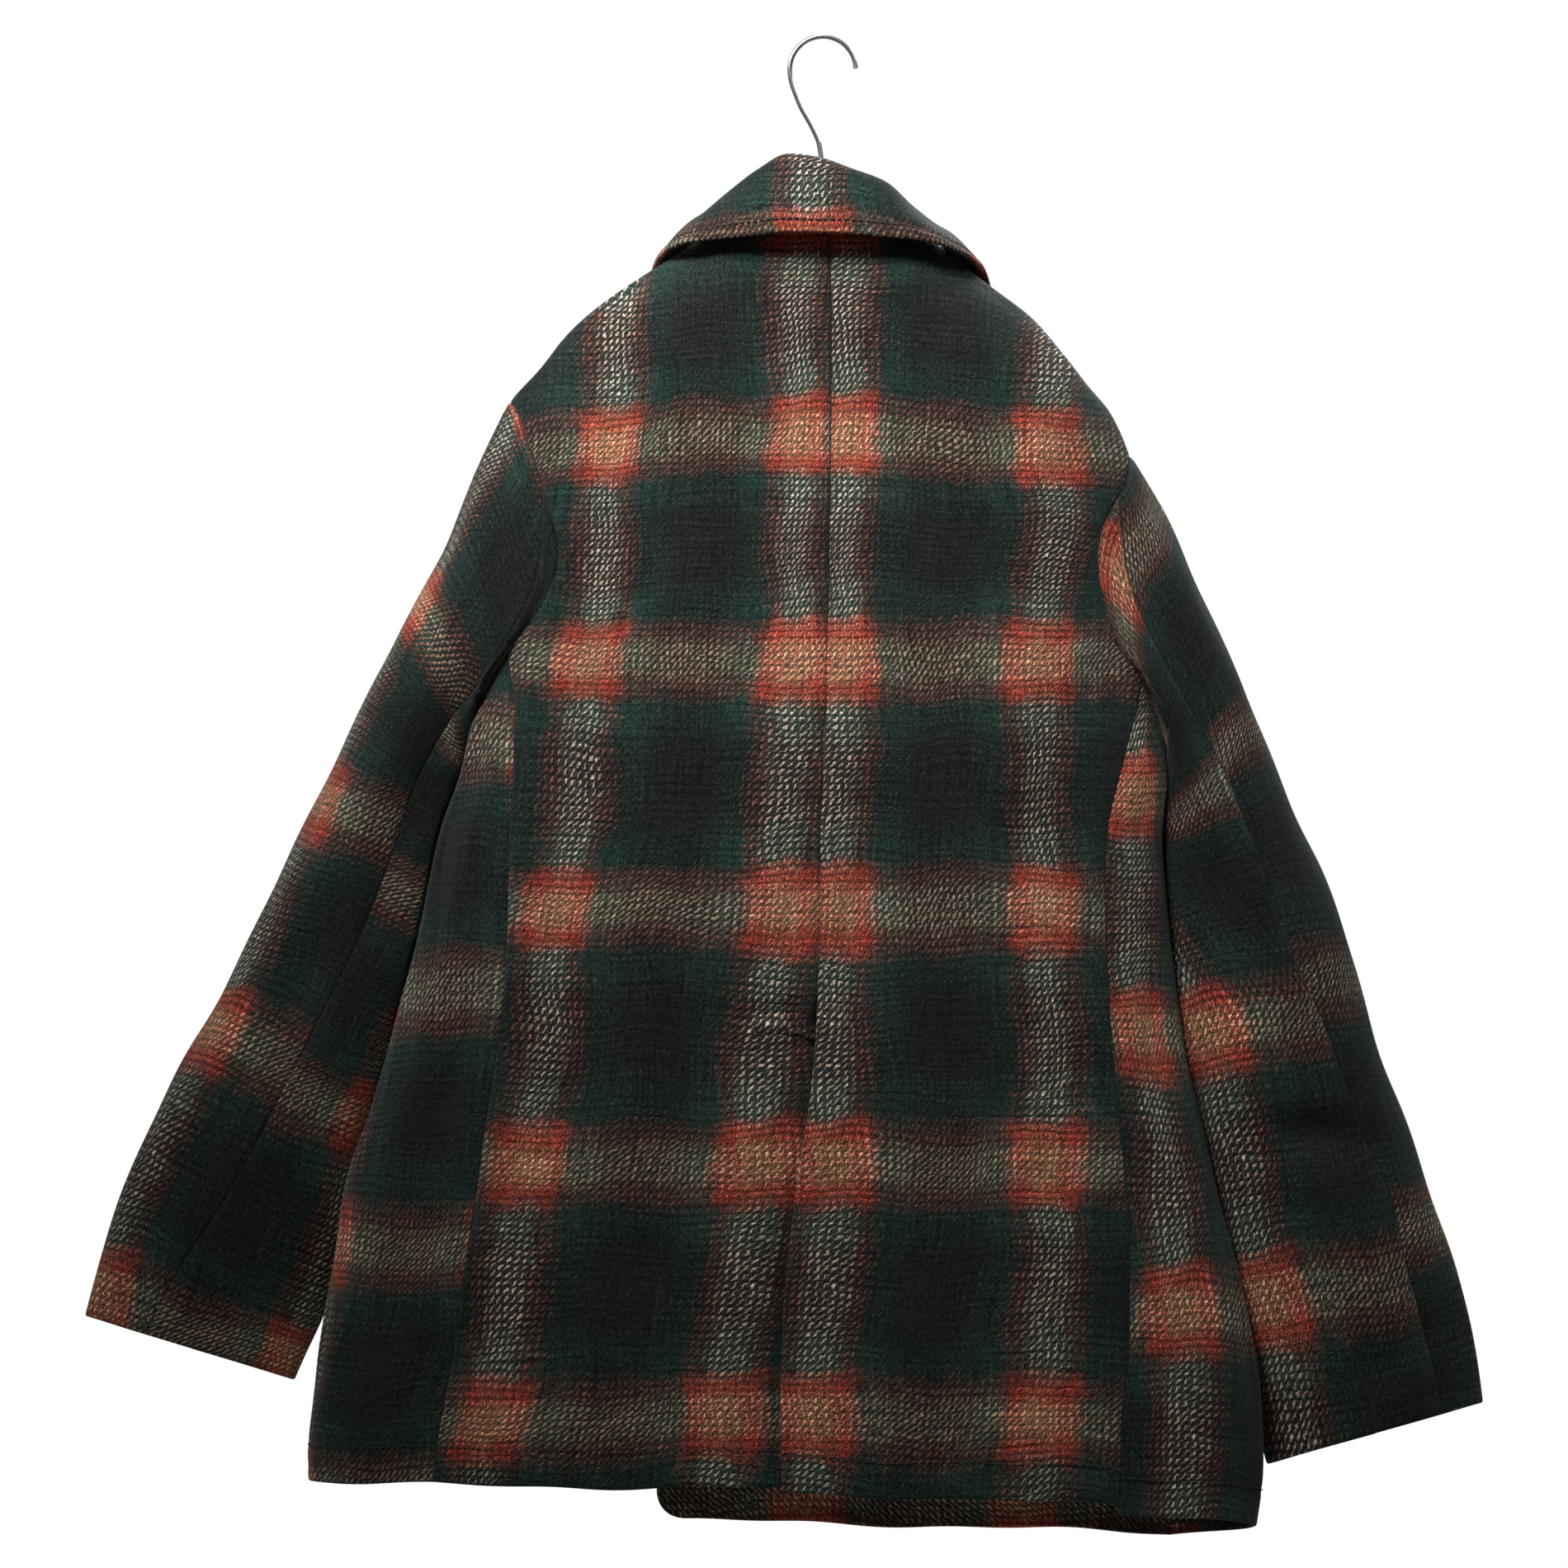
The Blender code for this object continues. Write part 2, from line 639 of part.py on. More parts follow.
def front_panel(side):
    """Half of the front. The wearer's right laps over the left."""
    name = "front_" + side
    seam = ARMHOLE[side]["side_seam"]
    turns = 360 - ring_turns(side, 0, seam)
    low = between(armhole(side, seam)[1], HEM["side_" + side][1], LEVELS + 1)
    outer = front_turned(np.concatenate([armhole_line(side, turns), side_front_line(side, low)[1:]]))
    table = LAP_EDGE[side]
    edge_top = table["rows"][0][0]
    rows = len(outer)
    share = np.linspace(0, 1, rows) ** 1.2
    heights = edge_top + (HEM[name][0] - edge_top) * share
    lap = lines(read(table, "x", heights), heights, front_angle)
    neck = neck_rows(NECK_FRONT, side)[::-1]
    neck = np.concatenate([LAP_TOP if side == "right" else UNDER_LAP_TOP, neck])
    top = np.concatenate([lines(neck[:, 0], neck[:, 1], front_angle), shoulder_line(side, front_angle)])
    bottom = straight_hem(lap[-1], outer[-1], len(top))
    grid = patch(top, bottom, lap, outer)
    x = grid_x(grid)
    if side == "right":
        lift = LAP_LIFT * fade(x, *RIGHT_LAP_LIFT)
        cut = LAP_CORNER * (1 - math.sqrt(0.5))
        corner_z = grid[-1, 0, 1] + cut
        grid[-1, 0] = (front_angle(x[-1, 0] - cut, corner_z), corner_z)
    else:
        lift = -LAP_LIFT * (1 - fade(x, LEFT_LAP_START, LEFT_LAP_START + LAP_FADE))
    return panel_solid(name, grid, lift, {"top": SHOULDER_GAP, "right": SEAM_GAP}, None, len(turns))


def sleeve(side, turn, reach):
    """The sleeve's outer face: turn 0 is its outer edge, 90 the back, 180 the inner edge."""
    table = SLEEVE[side]
    turn = np.asarray(turn, float)
    reach = np.asarray(reach, float)
    radians = np.radians(turn)
    share = (1 + np.cos(radians)) / 2

    def free(distance):
        x = read(table, "inner_x", distance) * (1 - share) + read(table, "outer_x", distance) * share
        z = read(table, "inner_z", distance) * (1 - share) + read(table, "outer_z", distance) * share
        bulge = np.sin(radians) * (1 + SLEEVE_FULLNESS * np.cos(radians) ** 2)
        y = read(table, "y", distance) + read(table, "deep", distance) * bulge
        return x, y, z

    x, y, z = free(reach)
    start = place(*free(0 * reach))
    settle = 1 - fade(reach, 0, SLEEVE_SETTLE)
    ring = body(*armhole(side, np.clip(turn % 360, 0, 360)))
    point = place(x, y, z) + (ring - start) * settle[..., None]
    return point


def folded_sleeve(side, turn, reach):
    """The sleeve with its troughs, kept clear of the body's side."""
    point = sleeve(side, turn, reach)
    out = normals(lambda a, b: sleeve(side, a, b), turn, reach, 0.5, 0.5)
    out = out * (-side_sign(side))
    sunk = 0 * reach
    for turn_a, reach_a, turn_b, reach_b, width, depth in SLEEVE_FOLDS[side]:
        along = np.array([(turn_b - turn_a) * DEGREE, reach_b - reach_a], float)
        length = np.linalg.norm(along)
        along = along / length
        a = (turn % 360 - turn_a) * DEGREE
        b = reach - reach_a
        run = np.clip((a * along[0] + b * along[1]) / length, 0, 1)
        gap = np.hypot(a - run * length * along[0], b - run * length * along[1])
        swell = FOLD_ENDS + (1 - FOLD_ENDS) * np.sin(math.pi * run)
        sunk = sunk + depth * np.exp(-((gap / width) ** 2)) * swell
    sunk = sunk * fade(reach, FOLD_FROM, FOLD_FULL)
    point = point - out * sunk[..., None]
    return clear_of_body(side, point)


def clear_of_body(side, point):
    """Where the sleeve would lie in the body's side, it lies against its front instead."""
    x = point[..., 0] - ORIGIN_X
    z = point[..., 2] - ORIGIN_Z
    centre, half = centre_and_half(z)
    inside = np.clip(np.abs(x - centre) / (half + SLEEVE_CLEAR), 0, 1)
    lean = np.sqrt(1 - inside**2)
    front = read(SECTION, "middle", z) - (read(SECTION, "front", z) + SLEEVE_CLEAR) * lean * (
        1 + FULLNESS * inside**2
    )
    below = fade(z, ARMHOLE[side]["bottom"] + 1, ARMHOLE[side]["bottom"] - 8)
    limit = front - SLEEVE_CLEAR
    push = np.where(inside < 1, np.maximum(point[..., 1] - limit, 0), 0) * below
    moved = point.copy()
    moved[..., 1] = moved[..., 1] - push
    return moved


def sleeve_piece(side, part):
    table = ARMHOLE[side]
    back = ring_turns(side, 0, table["elbow_seam"])
    fore = ring_turns(side, 0, table["front_seam"])
    if part == "upper":
        start_turns = np.concatenate([-fore[:0:-1], back])
    else:
        rest = ring_turns(side, table["elbow_seam"], 180)
        far = 360 - ring_turns(side, table["front_seam"], 180)[-2::-1]
        start_turns = np.concatenate([rest, far])
    reaches = np.array([min(step, SLEEVE[side]["rows"][-1][0]) for step in SLEEVE_STEPS], float)
    elbow = read(SLEEVE[side], "elbow", reaches)
    front = read(SLEEVE[side], "fore", reaches)
    low = -front if part == "upper" else elbow
    high = elbow if part == "upper" else 360 - front
    share = (start_turns - start_turns[0]) / (start_turns[-1] - start_turns[0])
    even = np.linspace(0, 1, len(share))
    blend = fade(reaches, 0, SPREAD_REACH)[:, None]
    share = share[None] * (1 - blend) + even[None] * blend
    turn = low[:, None] + (high - low)[:, None] * share
    reach = np.repeat(reaches[:, None], turn.shape[1], axis=1)
    outer = folded_sleeve(side, turn, reach)
    out = normals(lambda a, b: folded_sleeve(side, a, b), turn, reach, 1.0, 1.0) * (-side_sign(side))
    near = np.abs((turn + 180) % 360 - 180)
    rim = ((1 - fade(reach, 0, RIM_REACH)) * fade(near, RIM_FROM, RIM_FULL))[..., None]
    out = out * (1 - rim) + body_normals(*armhole(side, turn % 360)) * rim
    out = out / np.linalg.norm(out, axis=-1, keepdims=True)
    inner = outer - out * WALL
    for edge in ("top", "left", "right"):
        gap = ARM_GAP if edge == "top" else SLEEVE_GAP
        outer = pulled_in(outer, gap / 2, (edge,))
        inner = pulled_in(inner, gap / 2, (edge,))
    return shell("sleeve_" + side + "_" + part, outer, inner)


def neckline(side):
    """Outer points of the neckline on one side, from the centre back to the centre front."""
    back = neck_rows(NECK_BACK, side)
    back[0, 0] = read(CENTRE_SEAM, "x", CENTRE_TOP)
    front = neck_rows(NECK_FRONT, side)
    neck_x = side_sign(side) * SHOULDER_X[side][0]
    side_point = np.array([[neck_x, ridge(neck_x)]])
    back = np.concatenate([back, side_point])
    return np.concatenate([
        body(back_angle(back[:, 0], back[:, 1]), back[:, 1]),
        body(front_angle(front[:, 0], front[:, 1]), front[:, 1]),
    ])


def collar_lines():
    """Neck seam, roll and edge of the whole collar, from its left front to its right front."""
    seams = []
    rolls = []
    edges = []
    for side in ("left", "right"):
        table = np.array(COLLAR[side], float)
        seams.append(neckline(side))
        rolls.append(place(table[:, 0], table[:, 1], table[:, 2]))
        edges.append(place(table[:, 3], table[:, 4], table[:, 5]))
    joined = []
    for left, right in (seams, rolls, edges):
        joined.append(np.concatenate([left[::-1], right[1:]]))
    return joined


def collar(station, step):
    """The collar's middle face: up from the neck seam, over the roll and down to the edge."""
    seam, roll, edge = collar_lines()
    at = np.arange(len(seam))

    def along(line):
        return np.stack([smooth(station, at, line[:, k]) for k in range(3)], axis=-1)

    seam, roll, edge = along(seam), along(roll), along(edge)
    lean = roll - seam
    seam = seam + lean / np.linalg.norm(lean, axis=-1, keepdims=True) * (NECK_GAP + COLLAR_FOOT)
    ends = (seam + edge) / 2
    top = ends + (roll - ends) * 4 / 3
    spread = (seam - edge) * COLLAR_ROLL / 2
    t = np.asarray(step)[..., None]
    rise = top + spread
    fall = top - spread
    return (1 - t) ** 3 * seam + 3 * (1 - t) ** 2 * t * rise + 3 * (1 - t) * t**2 * fall + t**3 * edge


def collar_solid():
    count = len(COLLAR["left"]) + len(COLLAR["right"]) - 2
    stations = np.linspace(0, count, 2 * count + 1)
    station, step = np.meshgrid(stations, np.array(COLLAR_STEPS), indexing="ij")
    middle = collar(station, step)
    out = normals(collar, station, step, 0.02, 0.01)
    half = read(COLLAR_WALL, "half", step)[..., None]
    return shell("collar", middle + out * half, middle - out * half)


def button(index, z):
    """A four-hole button with a raised rim, just off the lap and facing as it does."""
    x = read(LAP_EDGE["right"], "x", z) - BUTTON_INSET
    angle = front_angle(x, z)
    out = body_normals(angle, z)
    centre = body(angle, z) + out * (LAP_LIFT + SEAM_GAP)
    across = np.cross(out, np.array([0.0, 0.0, 1.0]))
    across = across / np.linalg.norm(across)
    up = np.cross(across, out)
    points = []
    faces = []
    rings = [row for row in BUTTON_PROFILE if row[0] > 0]
    for radius, height in rings:
        for k in range(BUTTON_SIDES):
            a = 2 * math.pi * k / BUTTON_SIDES
            points.append(centre + out * height + (across * math.cos(a) + up * math.sin(a)) * radius)
    for i in range(len(rings) - 1):
        for k in range(BUTTON_SIDES):
            n = (k + 1) % BUTTON_SIDES
            a, b = i * BUTTON_SIDES + k, i * BUTTON_SIDES + n
            faces.append((a, b, b + BUTTON_SIDES, a + BUTTON_SIDES))
    faces.append(tuple(range(BUTTON_SIDES))[::-1])
    faces.append(tuple(range((len(rings) - 1) * BUTTON_SIDES, len(rings) * BUTTON_SIDES)))
    thing = mesh_object("button_" + str(index), points, faces, HORN)
    for k in range(4):
        a = math.pi / 4 + k * math.pi / 2
        spot = centre + (across * math.cos(a) + up * math.sin(a)) * HOLE_REACH
        pin_points = []
        for height in HOLE_HEIGHTS:
            for j in range(HOLE_SIDES):
                b = 2 * math.pi * j / HOLE_SIDES
                aside = (across * math.cos(b) + up * math.sin(b)) * BUTTON_HOLE
                pin_points.append(spot + out * height + aside)
        pin_faces = [tuple(range(HOLE_SIDES))[::-1], tuple(range(HOLE_SIDES, 2 * HOLE_SIDES))]
        for j in range(HOLE_SIDES):
            n = (j + 1) % HOLE_SIDES
            pin_faces.append((j, n, n + HOLE_SIDES, j + HOLE_SIDES))
        pin = mesh_object("pin", pin_points, pin_faces, HORN)
        cut = thing.modifiers.new("hole", "BOOLEAN")
        cut.operation = "DIFFERENCE"
        cut.solver = "EXACT"
        cut.object = pin
        with bpy.context.temp_override(object=thing, active_object=thing):
            bpy.ops.object.modifier_apply(modifier=cut.name)
        bpy.data.objects.remove(pin, do_unlink=True)
    return thing


def tube(name, path, high, deep, sides, colour):
    """A closed bar along a path in the XZ plane, with an oval section."""
    points = []
    faces = []
    count = len(path)
    for i in range(count):
        ahead = path[min(i + 1, count - 1)] - path[max(i - 1, 0)]
        ahead = ahead / np.linalg.norm(ahead)
        up = np.array([-ahead[2], 0, ahead[0]])
        for k in range(sides):
            a = 2 * math.pi * k / sides
            points.append(path[i] + up * high[i] * math.cos(a) + np.array([0, 1, 0]) * deep[i] * math.sin(a))
    for i in range(count - 1):
        for k in range(sides):
            n = (k + 1) % sides
            a, b = i * sides + k, i * sides + n
            faces.append((a, b, b + sides, a + sides))
    faces.append(tuple(range(sides))[::-1])
    faces.append(tuple(range((count - 1) * sides, count * sides)))
    return mesh_object(name, points, faces, colour)


def hanger_body():
    """Shaped shoulders that follow the coat's shoulder line inside the cloth."""
    rows = np.array(HANGER["rows"], float)
    xs = np.linspace(rows[0, 0], rows[-1, 0], HANGER_SECTIONS)
    zs = smooth(xs, rows[:, 0], rows[:, 1])
    path = place(xs, 0 * xs, zs)
    high = smooth(xs, rows[:, 0], rows[:, 2])
    deep = smooth(xs, rows[:, 0], rows[:, 3])
    ends = np.array([HANGER_END] + [1.0] * (HANGER_SECTIONS - 2) + [HANGER_END])
    return tube("hanger_body", path, high * ends, deep * ends, HANGER_SIDES, WOOD)


def hook_path():
    """The bent wire, from its open tip over the rail and down to the hanger."""
    turns = np.radians(np.arange(HOOK_END_TURN, HOOK_START_TURN + 1, HOOK_TURN_STEP))
    arc = [(HOOK_X + HOOK_RADIUS * math.sin(a), HOOK_Z + HOOK_RADIUS * math.cos(a)) for a in turns]
    bend = np.array(arc + list(STEM), float)
    run = np.concatenate([[0], np.cumsum(np.linalg.norm(np.diff(bend, axis=0), axis=1))])
    at = np.linspace(0, run[-1], HOOK_SECTIONS)
    return place(smooth(at, run, bend[:, 0]), 0 * at, smooth(at, run, bend[:, 1]))


def main():
    for old in list(bpy.data.objects):
        bpy.data.objects.remove(old, do_unlink=True)
    for side in ("left", "right"):
        back_panel(side)
        side_panel(side)
        front_panel(side)
        sleeve_piece(side, "upper")
        sleeve_piece(side, "under")
    collar_solid()
    for index, z in enumerate(BUTTON_HEIGHTS):
        button(index + 1, z)
    hanger_body()
    path = hook_path()
    radius = np.full(len(path), WIRE)
    tube("hanger_hook", path, radius, radius, HOOK_SIDES, STEEL)


main()
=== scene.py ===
import json
import math

import bpy
import numpy as np
from bpy.props import FloatProperty, FloatVectorProperty, PointerProperty
from bpy.types import Operator, Panel, PropertyGroup
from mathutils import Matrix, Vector

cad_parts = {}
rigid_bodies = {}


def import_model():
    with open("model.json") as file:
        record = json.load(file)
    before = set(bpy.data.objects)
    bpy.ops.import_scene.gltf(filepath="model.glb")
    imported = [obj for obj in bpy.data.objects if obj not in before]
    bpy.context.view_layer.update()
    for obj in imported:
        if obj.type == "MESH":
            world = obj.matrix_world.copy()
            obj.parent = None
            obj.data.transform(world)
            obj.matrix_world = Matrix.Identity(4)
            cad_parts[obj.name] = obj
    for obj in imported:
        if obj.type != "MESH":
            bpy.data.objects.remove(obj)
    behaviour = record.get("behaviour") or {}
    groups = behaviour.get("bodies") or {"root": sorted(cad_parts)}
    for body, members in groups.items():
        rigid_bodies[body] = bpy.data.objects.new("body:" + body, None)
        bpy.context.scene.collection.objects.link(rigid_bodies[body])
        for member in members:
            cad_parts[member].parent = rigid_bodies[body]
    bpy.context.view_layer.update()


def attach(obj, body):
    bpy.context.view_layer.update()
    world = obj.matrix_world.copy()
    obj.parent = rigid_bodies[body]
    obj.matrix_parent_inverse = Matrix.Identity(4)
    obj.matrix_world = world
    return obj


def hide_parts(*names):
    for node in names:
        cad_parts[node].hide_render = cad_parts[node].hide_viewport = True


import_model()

bl_info = {
    "name": "Checked wool coat",
    "version": (1, 0, 0),
    "blender": (4, 5, 0),
    "location": "View3D > Sidebar > Coat",
    "description": "Cloth, sewing, buttons and hanger of a coat hung on a rail",
    "category": "Object",
}

# The coat's own sizes, in millimetres on the plane through the hook.

SIGHT = 2400.0
EYE_X = 22.5
EYE_Z = -453.5
ORIGIN_X = 1.0
ORIGIN_Z = 2.0
FULLNESS = 0.2
SHOULDER_ROUND = 60.0
LAP_LIFT = 2.0
LAP_FADE = 30.0
VENT_TOP = -602.5
VENT_FADE = 26.0
UNDERLAP = 40.0
BACK_WIDTH = 260.0
VENT_LIFT_START = 4.0
VENT_SINK_START = 6.0
RIGHT_LAP_LIFT = (-60.0, -28.0)
LEFT_LAP_START = 112.0
LAP_CORNER = 18.0
LAP_TOP = ((38, -176), (20, -181.5))
UNDER_LAP_TOP = ((-16, -184),)
FRONT_SCOOP = 3.0
RIGHT_NECK_DROP = 6.0
CENTRE_TOP = -106.0
CENTRE_CORNER = -370.0
LEVELS = 11
SHOULDER_STEPS = 51
FLUTE_TOP = -430.0
FLUTE_FULL = -860.0
SLEEVE_SETTLE = 170.0
SLEEVE_FULLNESS = 0.15
SLEEVE_CLEAR = 1.3
COLLAR_ROLL = 1.1
NECK_GAP = 2.4
COLLAR_FOOT = 1.8
ARMPIT_FULLNESS = 5.0

SECTION = {
    "columns": ("z", "left", "right", "back", "front", "middle"),
    "rows": (
        (-60, 202, -204, 44, 42, 0), (-222, 202, -204, 50, 46, 0), (-310, 202, -204, 52, 48, 1),
        (-400, 203, -205.5, 53, 50, 4), (-430, 211, -206, 53, 50, 6),
        (-480, 230, -206.5, 52, 50, 6), (-515, 238, -208.5, 52, 50, 6),
        (-553, 246, -212.5, 52, 50, 6), (-605, 260, -219, 51, 50, 6),
        (-648, 271.5, -228, 50, 50, 6), (-696, 287.5, -239, 50, 50, 6),
        (-731, 292, -247.5, 50, 50, 6), (-771, 299.5, -257, 51, 51, 6),
        (-810, 305.5, -264, 52, 52, 6), (-862, 311, -268, 53, 53, 6), (-910, 309, -263, 54, 54, 6),
    ),
}
RIDGE = {
    "columns": ("x", "z"),
    "rows": (
        (-204, -290), (-188, -254.5), (-176, -228.5), (-161.5, -211), (-145.5, -191),
        (-128.5, -171), (-104, -152), (-88, -140), (-72, -127), (-60, -113), (-45, -99),
        (-30, -89), (0, -78), (30, -87), (45, -95), (60, -107), (72, -121), (86, -131),
        (104.5, -142.5), (132, -161), (154.5, -181), (170.5, -201), (189.5, -222), (203, -245),
    ),
}
CENTRE_SEAM = {
    "columns": ("z", "x"),
    "rows": ((-106, -5), (-178, -6.5), (-328, -5), (-403, -2.5), (-528, 1), (-602.5, 3),
             (-634, 5), (-668, 11), (-778, 23), (-858, 25), (-884, 23.5)),
}
SIDE_BACK_SEAM = {
    "columns": ("z", "x"),
    "left": ((-374.5, 190), (-417, 187), (-496, 189.5), (-575, 192.5), (-652.5, 202.5), (-731.5, 213.5),
             (-790.5, 222), (-850, 232), (-878.5, 235)),
    "right": ((-391, -194), (-422.5, -188.5), (-466, -177), (-505.5, -172), (-538.5, -173), (-608, -177),
              (-667.5, -182), (-726.5, -187.5), (-786, -187.5), (-849.5, -182), (-896, -180)),
}
SIDE_FRONT_REACH = {"left": (0.93, 0.80), "right": (0.93, 0.82)}
ARMHOLE = {
    "left": {
        "top": -222.0, "bottom": -403.0, "side_seam": 133,
        "turns": (0, 11, 24, 37, 51, 65, 79, 93, 107, 120, 133, 149, 165, 180),
        "columns": ("turn", "angle"),
        "rows": ((0, 69.7), (30, 65), (60, 58), (90, 52.3), (105, 55.5), (120, 62.5), (135, 71.5),
                 (150, 78), (165, 84), (180, 90)),
    },
    "right": {
        "top": -254.5, "bottom": -430.0, "side_seam": 124,
        "turns": (0, 11, 22, 33, 44, 60, 76, 92, 108, 124, 142, 161, 180),
        "columns": ("turn", "angle"),
        "rows": ((0, 67), (30, 66), (45, 62), (60, 57), (75, 55.5), (90, 57.5), (105, 61), (120, 70),
                 (135, 77), (150, 83), (180, 90)),
    },
}
NECK_BACK = ((0, -106), (20, -106.5), (38, -108.5), (56, -112.5), (67, -117))
NECK_FRONT = ((68, -138), (58, -156), (42, -172), (22, -181), (3, -184))
SHOULDER_X = {"left": (72, 86, 104.5, 132, 160, 189.5), "right": (72, 88, 108, 134, 161.5, 188)}
HEM = {
    "back_left": (-881.5, -878.5), "side_left": (-878.5, -872.0),
    "back_right": (-883.5, -891.0), "side_right": (-896.0, -907.0),
    "front_left": (-872.0, -872.0), "front_right": (-899.0, -907.0),
}
LAP_EDGE = {
    "columns": ("z", "x"),
    "right": ((-176, 38), (-300, 50), (-500, 68), (-700, 85), (-880, 100), (-893, 100)),
    "left": ((-184, -16), (-872, -12)),
}
SLEEVE = {
    "columns": ("reach", "outer_x", "outer_z", "inner_x", "inner_z", "deep", "y", "elbow", "fore"),
    "left": (
        (0, 190.5, -221.5, 201.5, -401.5, 40, 2, 65, 93), (59, 216.5, -275, 209, -416, 44, -7, 104, 98),
        (95, 232.5, -313.5, 210, -427, 45, -13, 112, 100),
        (142, 251.5, -349.5, 212, -441, 45, -19, 114, 102),
        (187, 271.5, -388.5, 214.5, -454, 44, -22, 110, 104),
        (233, 291.5, -431.5, 218, -468, 44, -24, 105, 104),
        (279, 311.5, -473.5, 226, -507, 43, -25, 104, 104),
        (335, 335, -523.5, 239, -561.5, 42, -25, 99, 102),
        (395, 361, -578.5, 256.5, -620, 39, -25, 92, 100),
        (453, 389.5, -628.5, 273.5, -674.5, 35, -24, 89, 98),
        (508, 414, -678.5, 286, -729.5, 31, -23, 82, 96),
        (562, 433, -728.5, 303.5, -780, 26, -22, 72, 94),
        (610, 445, -776, 319.5, -814.5, 21, -20, 64, 92),
    ),
    "right": (
        (0, -189, -254, -203, -428.5, 38, 2, 44, 92), (54, -216.5, -301, -208, -443, 43, -7, 72, 96),
        (95, -232.5, -337.5, -206, -453, 45, -14, 77, 98),
        (137, -250, -376, -203, -464, 45, -20, 79, 100),
        (183, -267.5, -418.5, -201, -477, 45, -24, 76, 100),
        (232, -285, -464.5, -199.5, -495, 44, -26, 71, 100),
        (279, -304.5, -507.5, -203, -533.5, 43, -27, 71, 100),
        (335, -322.5, -561, -208, -586, 41, -26, 63, 98),
        (384, -334.5, -608.5, -216, -633.5, 39, -26, 53, 96),
        (432, -351.5, -653.5, -226.5, -678.5, 36, -25, 52, 94),
        (485, -369, -703.5, -237.5, -728.5, 32, -24, 48, 92),
        (533, -384.5, -748.5, -248.5, -778.5, 28, -23, 52, 90),
        (574, -395, -788.5, -258.5, -823.5, 24, -22, 51, 90),
        (614, -400, -828.5, -270.5, -865.5, 20, -20, 48, 90),
    ),
}
FLUTES = {
    "columns": ("angle", "spread", "depth"),
    "rows": ((-28, 9, 0.09), (-6, 8, -0.07), (22, 9, 0.08), (38, 7, -0.10), (-48, 6, -0.06),
             (150, 9, 0.08), (168, 7, -0.07), (-142, 9, 0.08), (-166, 8, -0.07)),
}
COLLAR_LEFT = (
    (3, 51, -76, 0, 61, -118), (20, 48, -74, 20, 60, -117.5), (38, 42, -83.5, 40, 57, -119.5),
    (57, 30, -98, 60, 50, -121.5), (71, 17, -109, 78, 38, -123.5), (80, 2, -116, 92, 20, -128.5),
    (80, -27, -126, 99, -8, -136), (72, -45, -139, 104, -36, -156), (56, -52, -154, 100, -51, -186),
    (34, -58, -168, 88, -57, -212), (12, -60, -178, 70, -60, -236),
)
COLLAR_RIGHT = (
    (3, 51, -76, 0, 61, -118), (-18, 48, -83, -18, 60, -118.5), (-38, 42, -90.5, -38, 57, -120.5),
    (-55, 30, -105, -60, 50, -122.5), (-69, 17, -115.5, -77, 38, -127), (-80, 2, -123, -90, 20, -134),
    (-81, -27, -133, -97.5, -8, -141.5), (-73, -45, -145, -103, -36, -162),
    (-57, -52, -158, -99, -51, -190), (-35, -58, -170, -87, -57, -215), (-12, -60, -179, -69, -60, -238),
)
BUTTONS = 4
SIDES = ("left", "right")
WIRE = 1.5
HOOK_X = -1.0
HOOK_Z = -20.5
HOOK_RADIUS = 20.0
HOOK_END_TURN = -88
HOOK_START_TURN = 100
STEM = ((13.5, -40.5), (5, -56.5), (1.2, -66), (0, -76), (0, -88), (0, -104.1))

# Where the folds run. Widths and depths are millimetres, and a depth below nought is a ridge.

BODY_FOLDS = {
    "columns": ("x", "z", "end_x", "end_z", "width", "depth"),
    "back": (
        (46, -592.5, 5.5, -588.5, 4.2, 3.2),
        (42, -603, 12, -601, 8.0, -3.6),
        (23, -639, 24, -672, 6.0, 1.8),
        (34, -632, 36, -690, 11.0, -1.6),
        (150, -262, 92, -322, 16.0, 1.8),
        (-146, -290, -96, -342, 16.0, 1.8),
        (168, -420, 104, -520, 24.0, 2.2),
        (-156, -440, -92, -530, 22.0, 2.2),
        (120, -640, 160, -860, 20.0, 1.8),
        (-70, -660, -84, -880, 18.0, 1.8),
    ),
    "front": (
        (120, -250, 64, -330, 18.0, 2.0),
        (-128, -262, -66, -330, 18.0, 2.0),
        (150, -430, 96, -560, 24.0, 2.4),
        (-150, -430, -70, -540, 24.0, 2.4),
        (60, -722, 20, -842, 18.0, 2.0),
    ),
}
SLEEVE_FOLDS = {
    "columns": ("sleeve", "turn", "reach", "end_turn", "end_reach", "width", "depth"),
    "rows": (
        ("left", 100, 80, 125, 210, 22, 6.5),
        ("left", 118, 200, 108, 330, 18, 5.5),
        ("left", 70, 300, 75, 470, 16, 5.5),
        ("left", 250, 120, 235, 260, 18, 6.0),
        ("left", 290, 330, 270, 450, 16, 4.0),
        ("right", 62, 80, 98, 200, 20, 6.0),
        ("right", 95, 190, 105, 300, 18, 5.0),
        ("right", 55, 445, 105, 425, 15, 9.0),
        ("right", 35, 560, 95, 585, 12, 4.0),
        ("right", 255, 120, 240, 260, 18, 6.0),
        ("right", 285, 420, 250, 400, 16, 5.0),
    ),
}

# How the check falls on each piece: places where a band's middle runs, in millimetres, and its count.

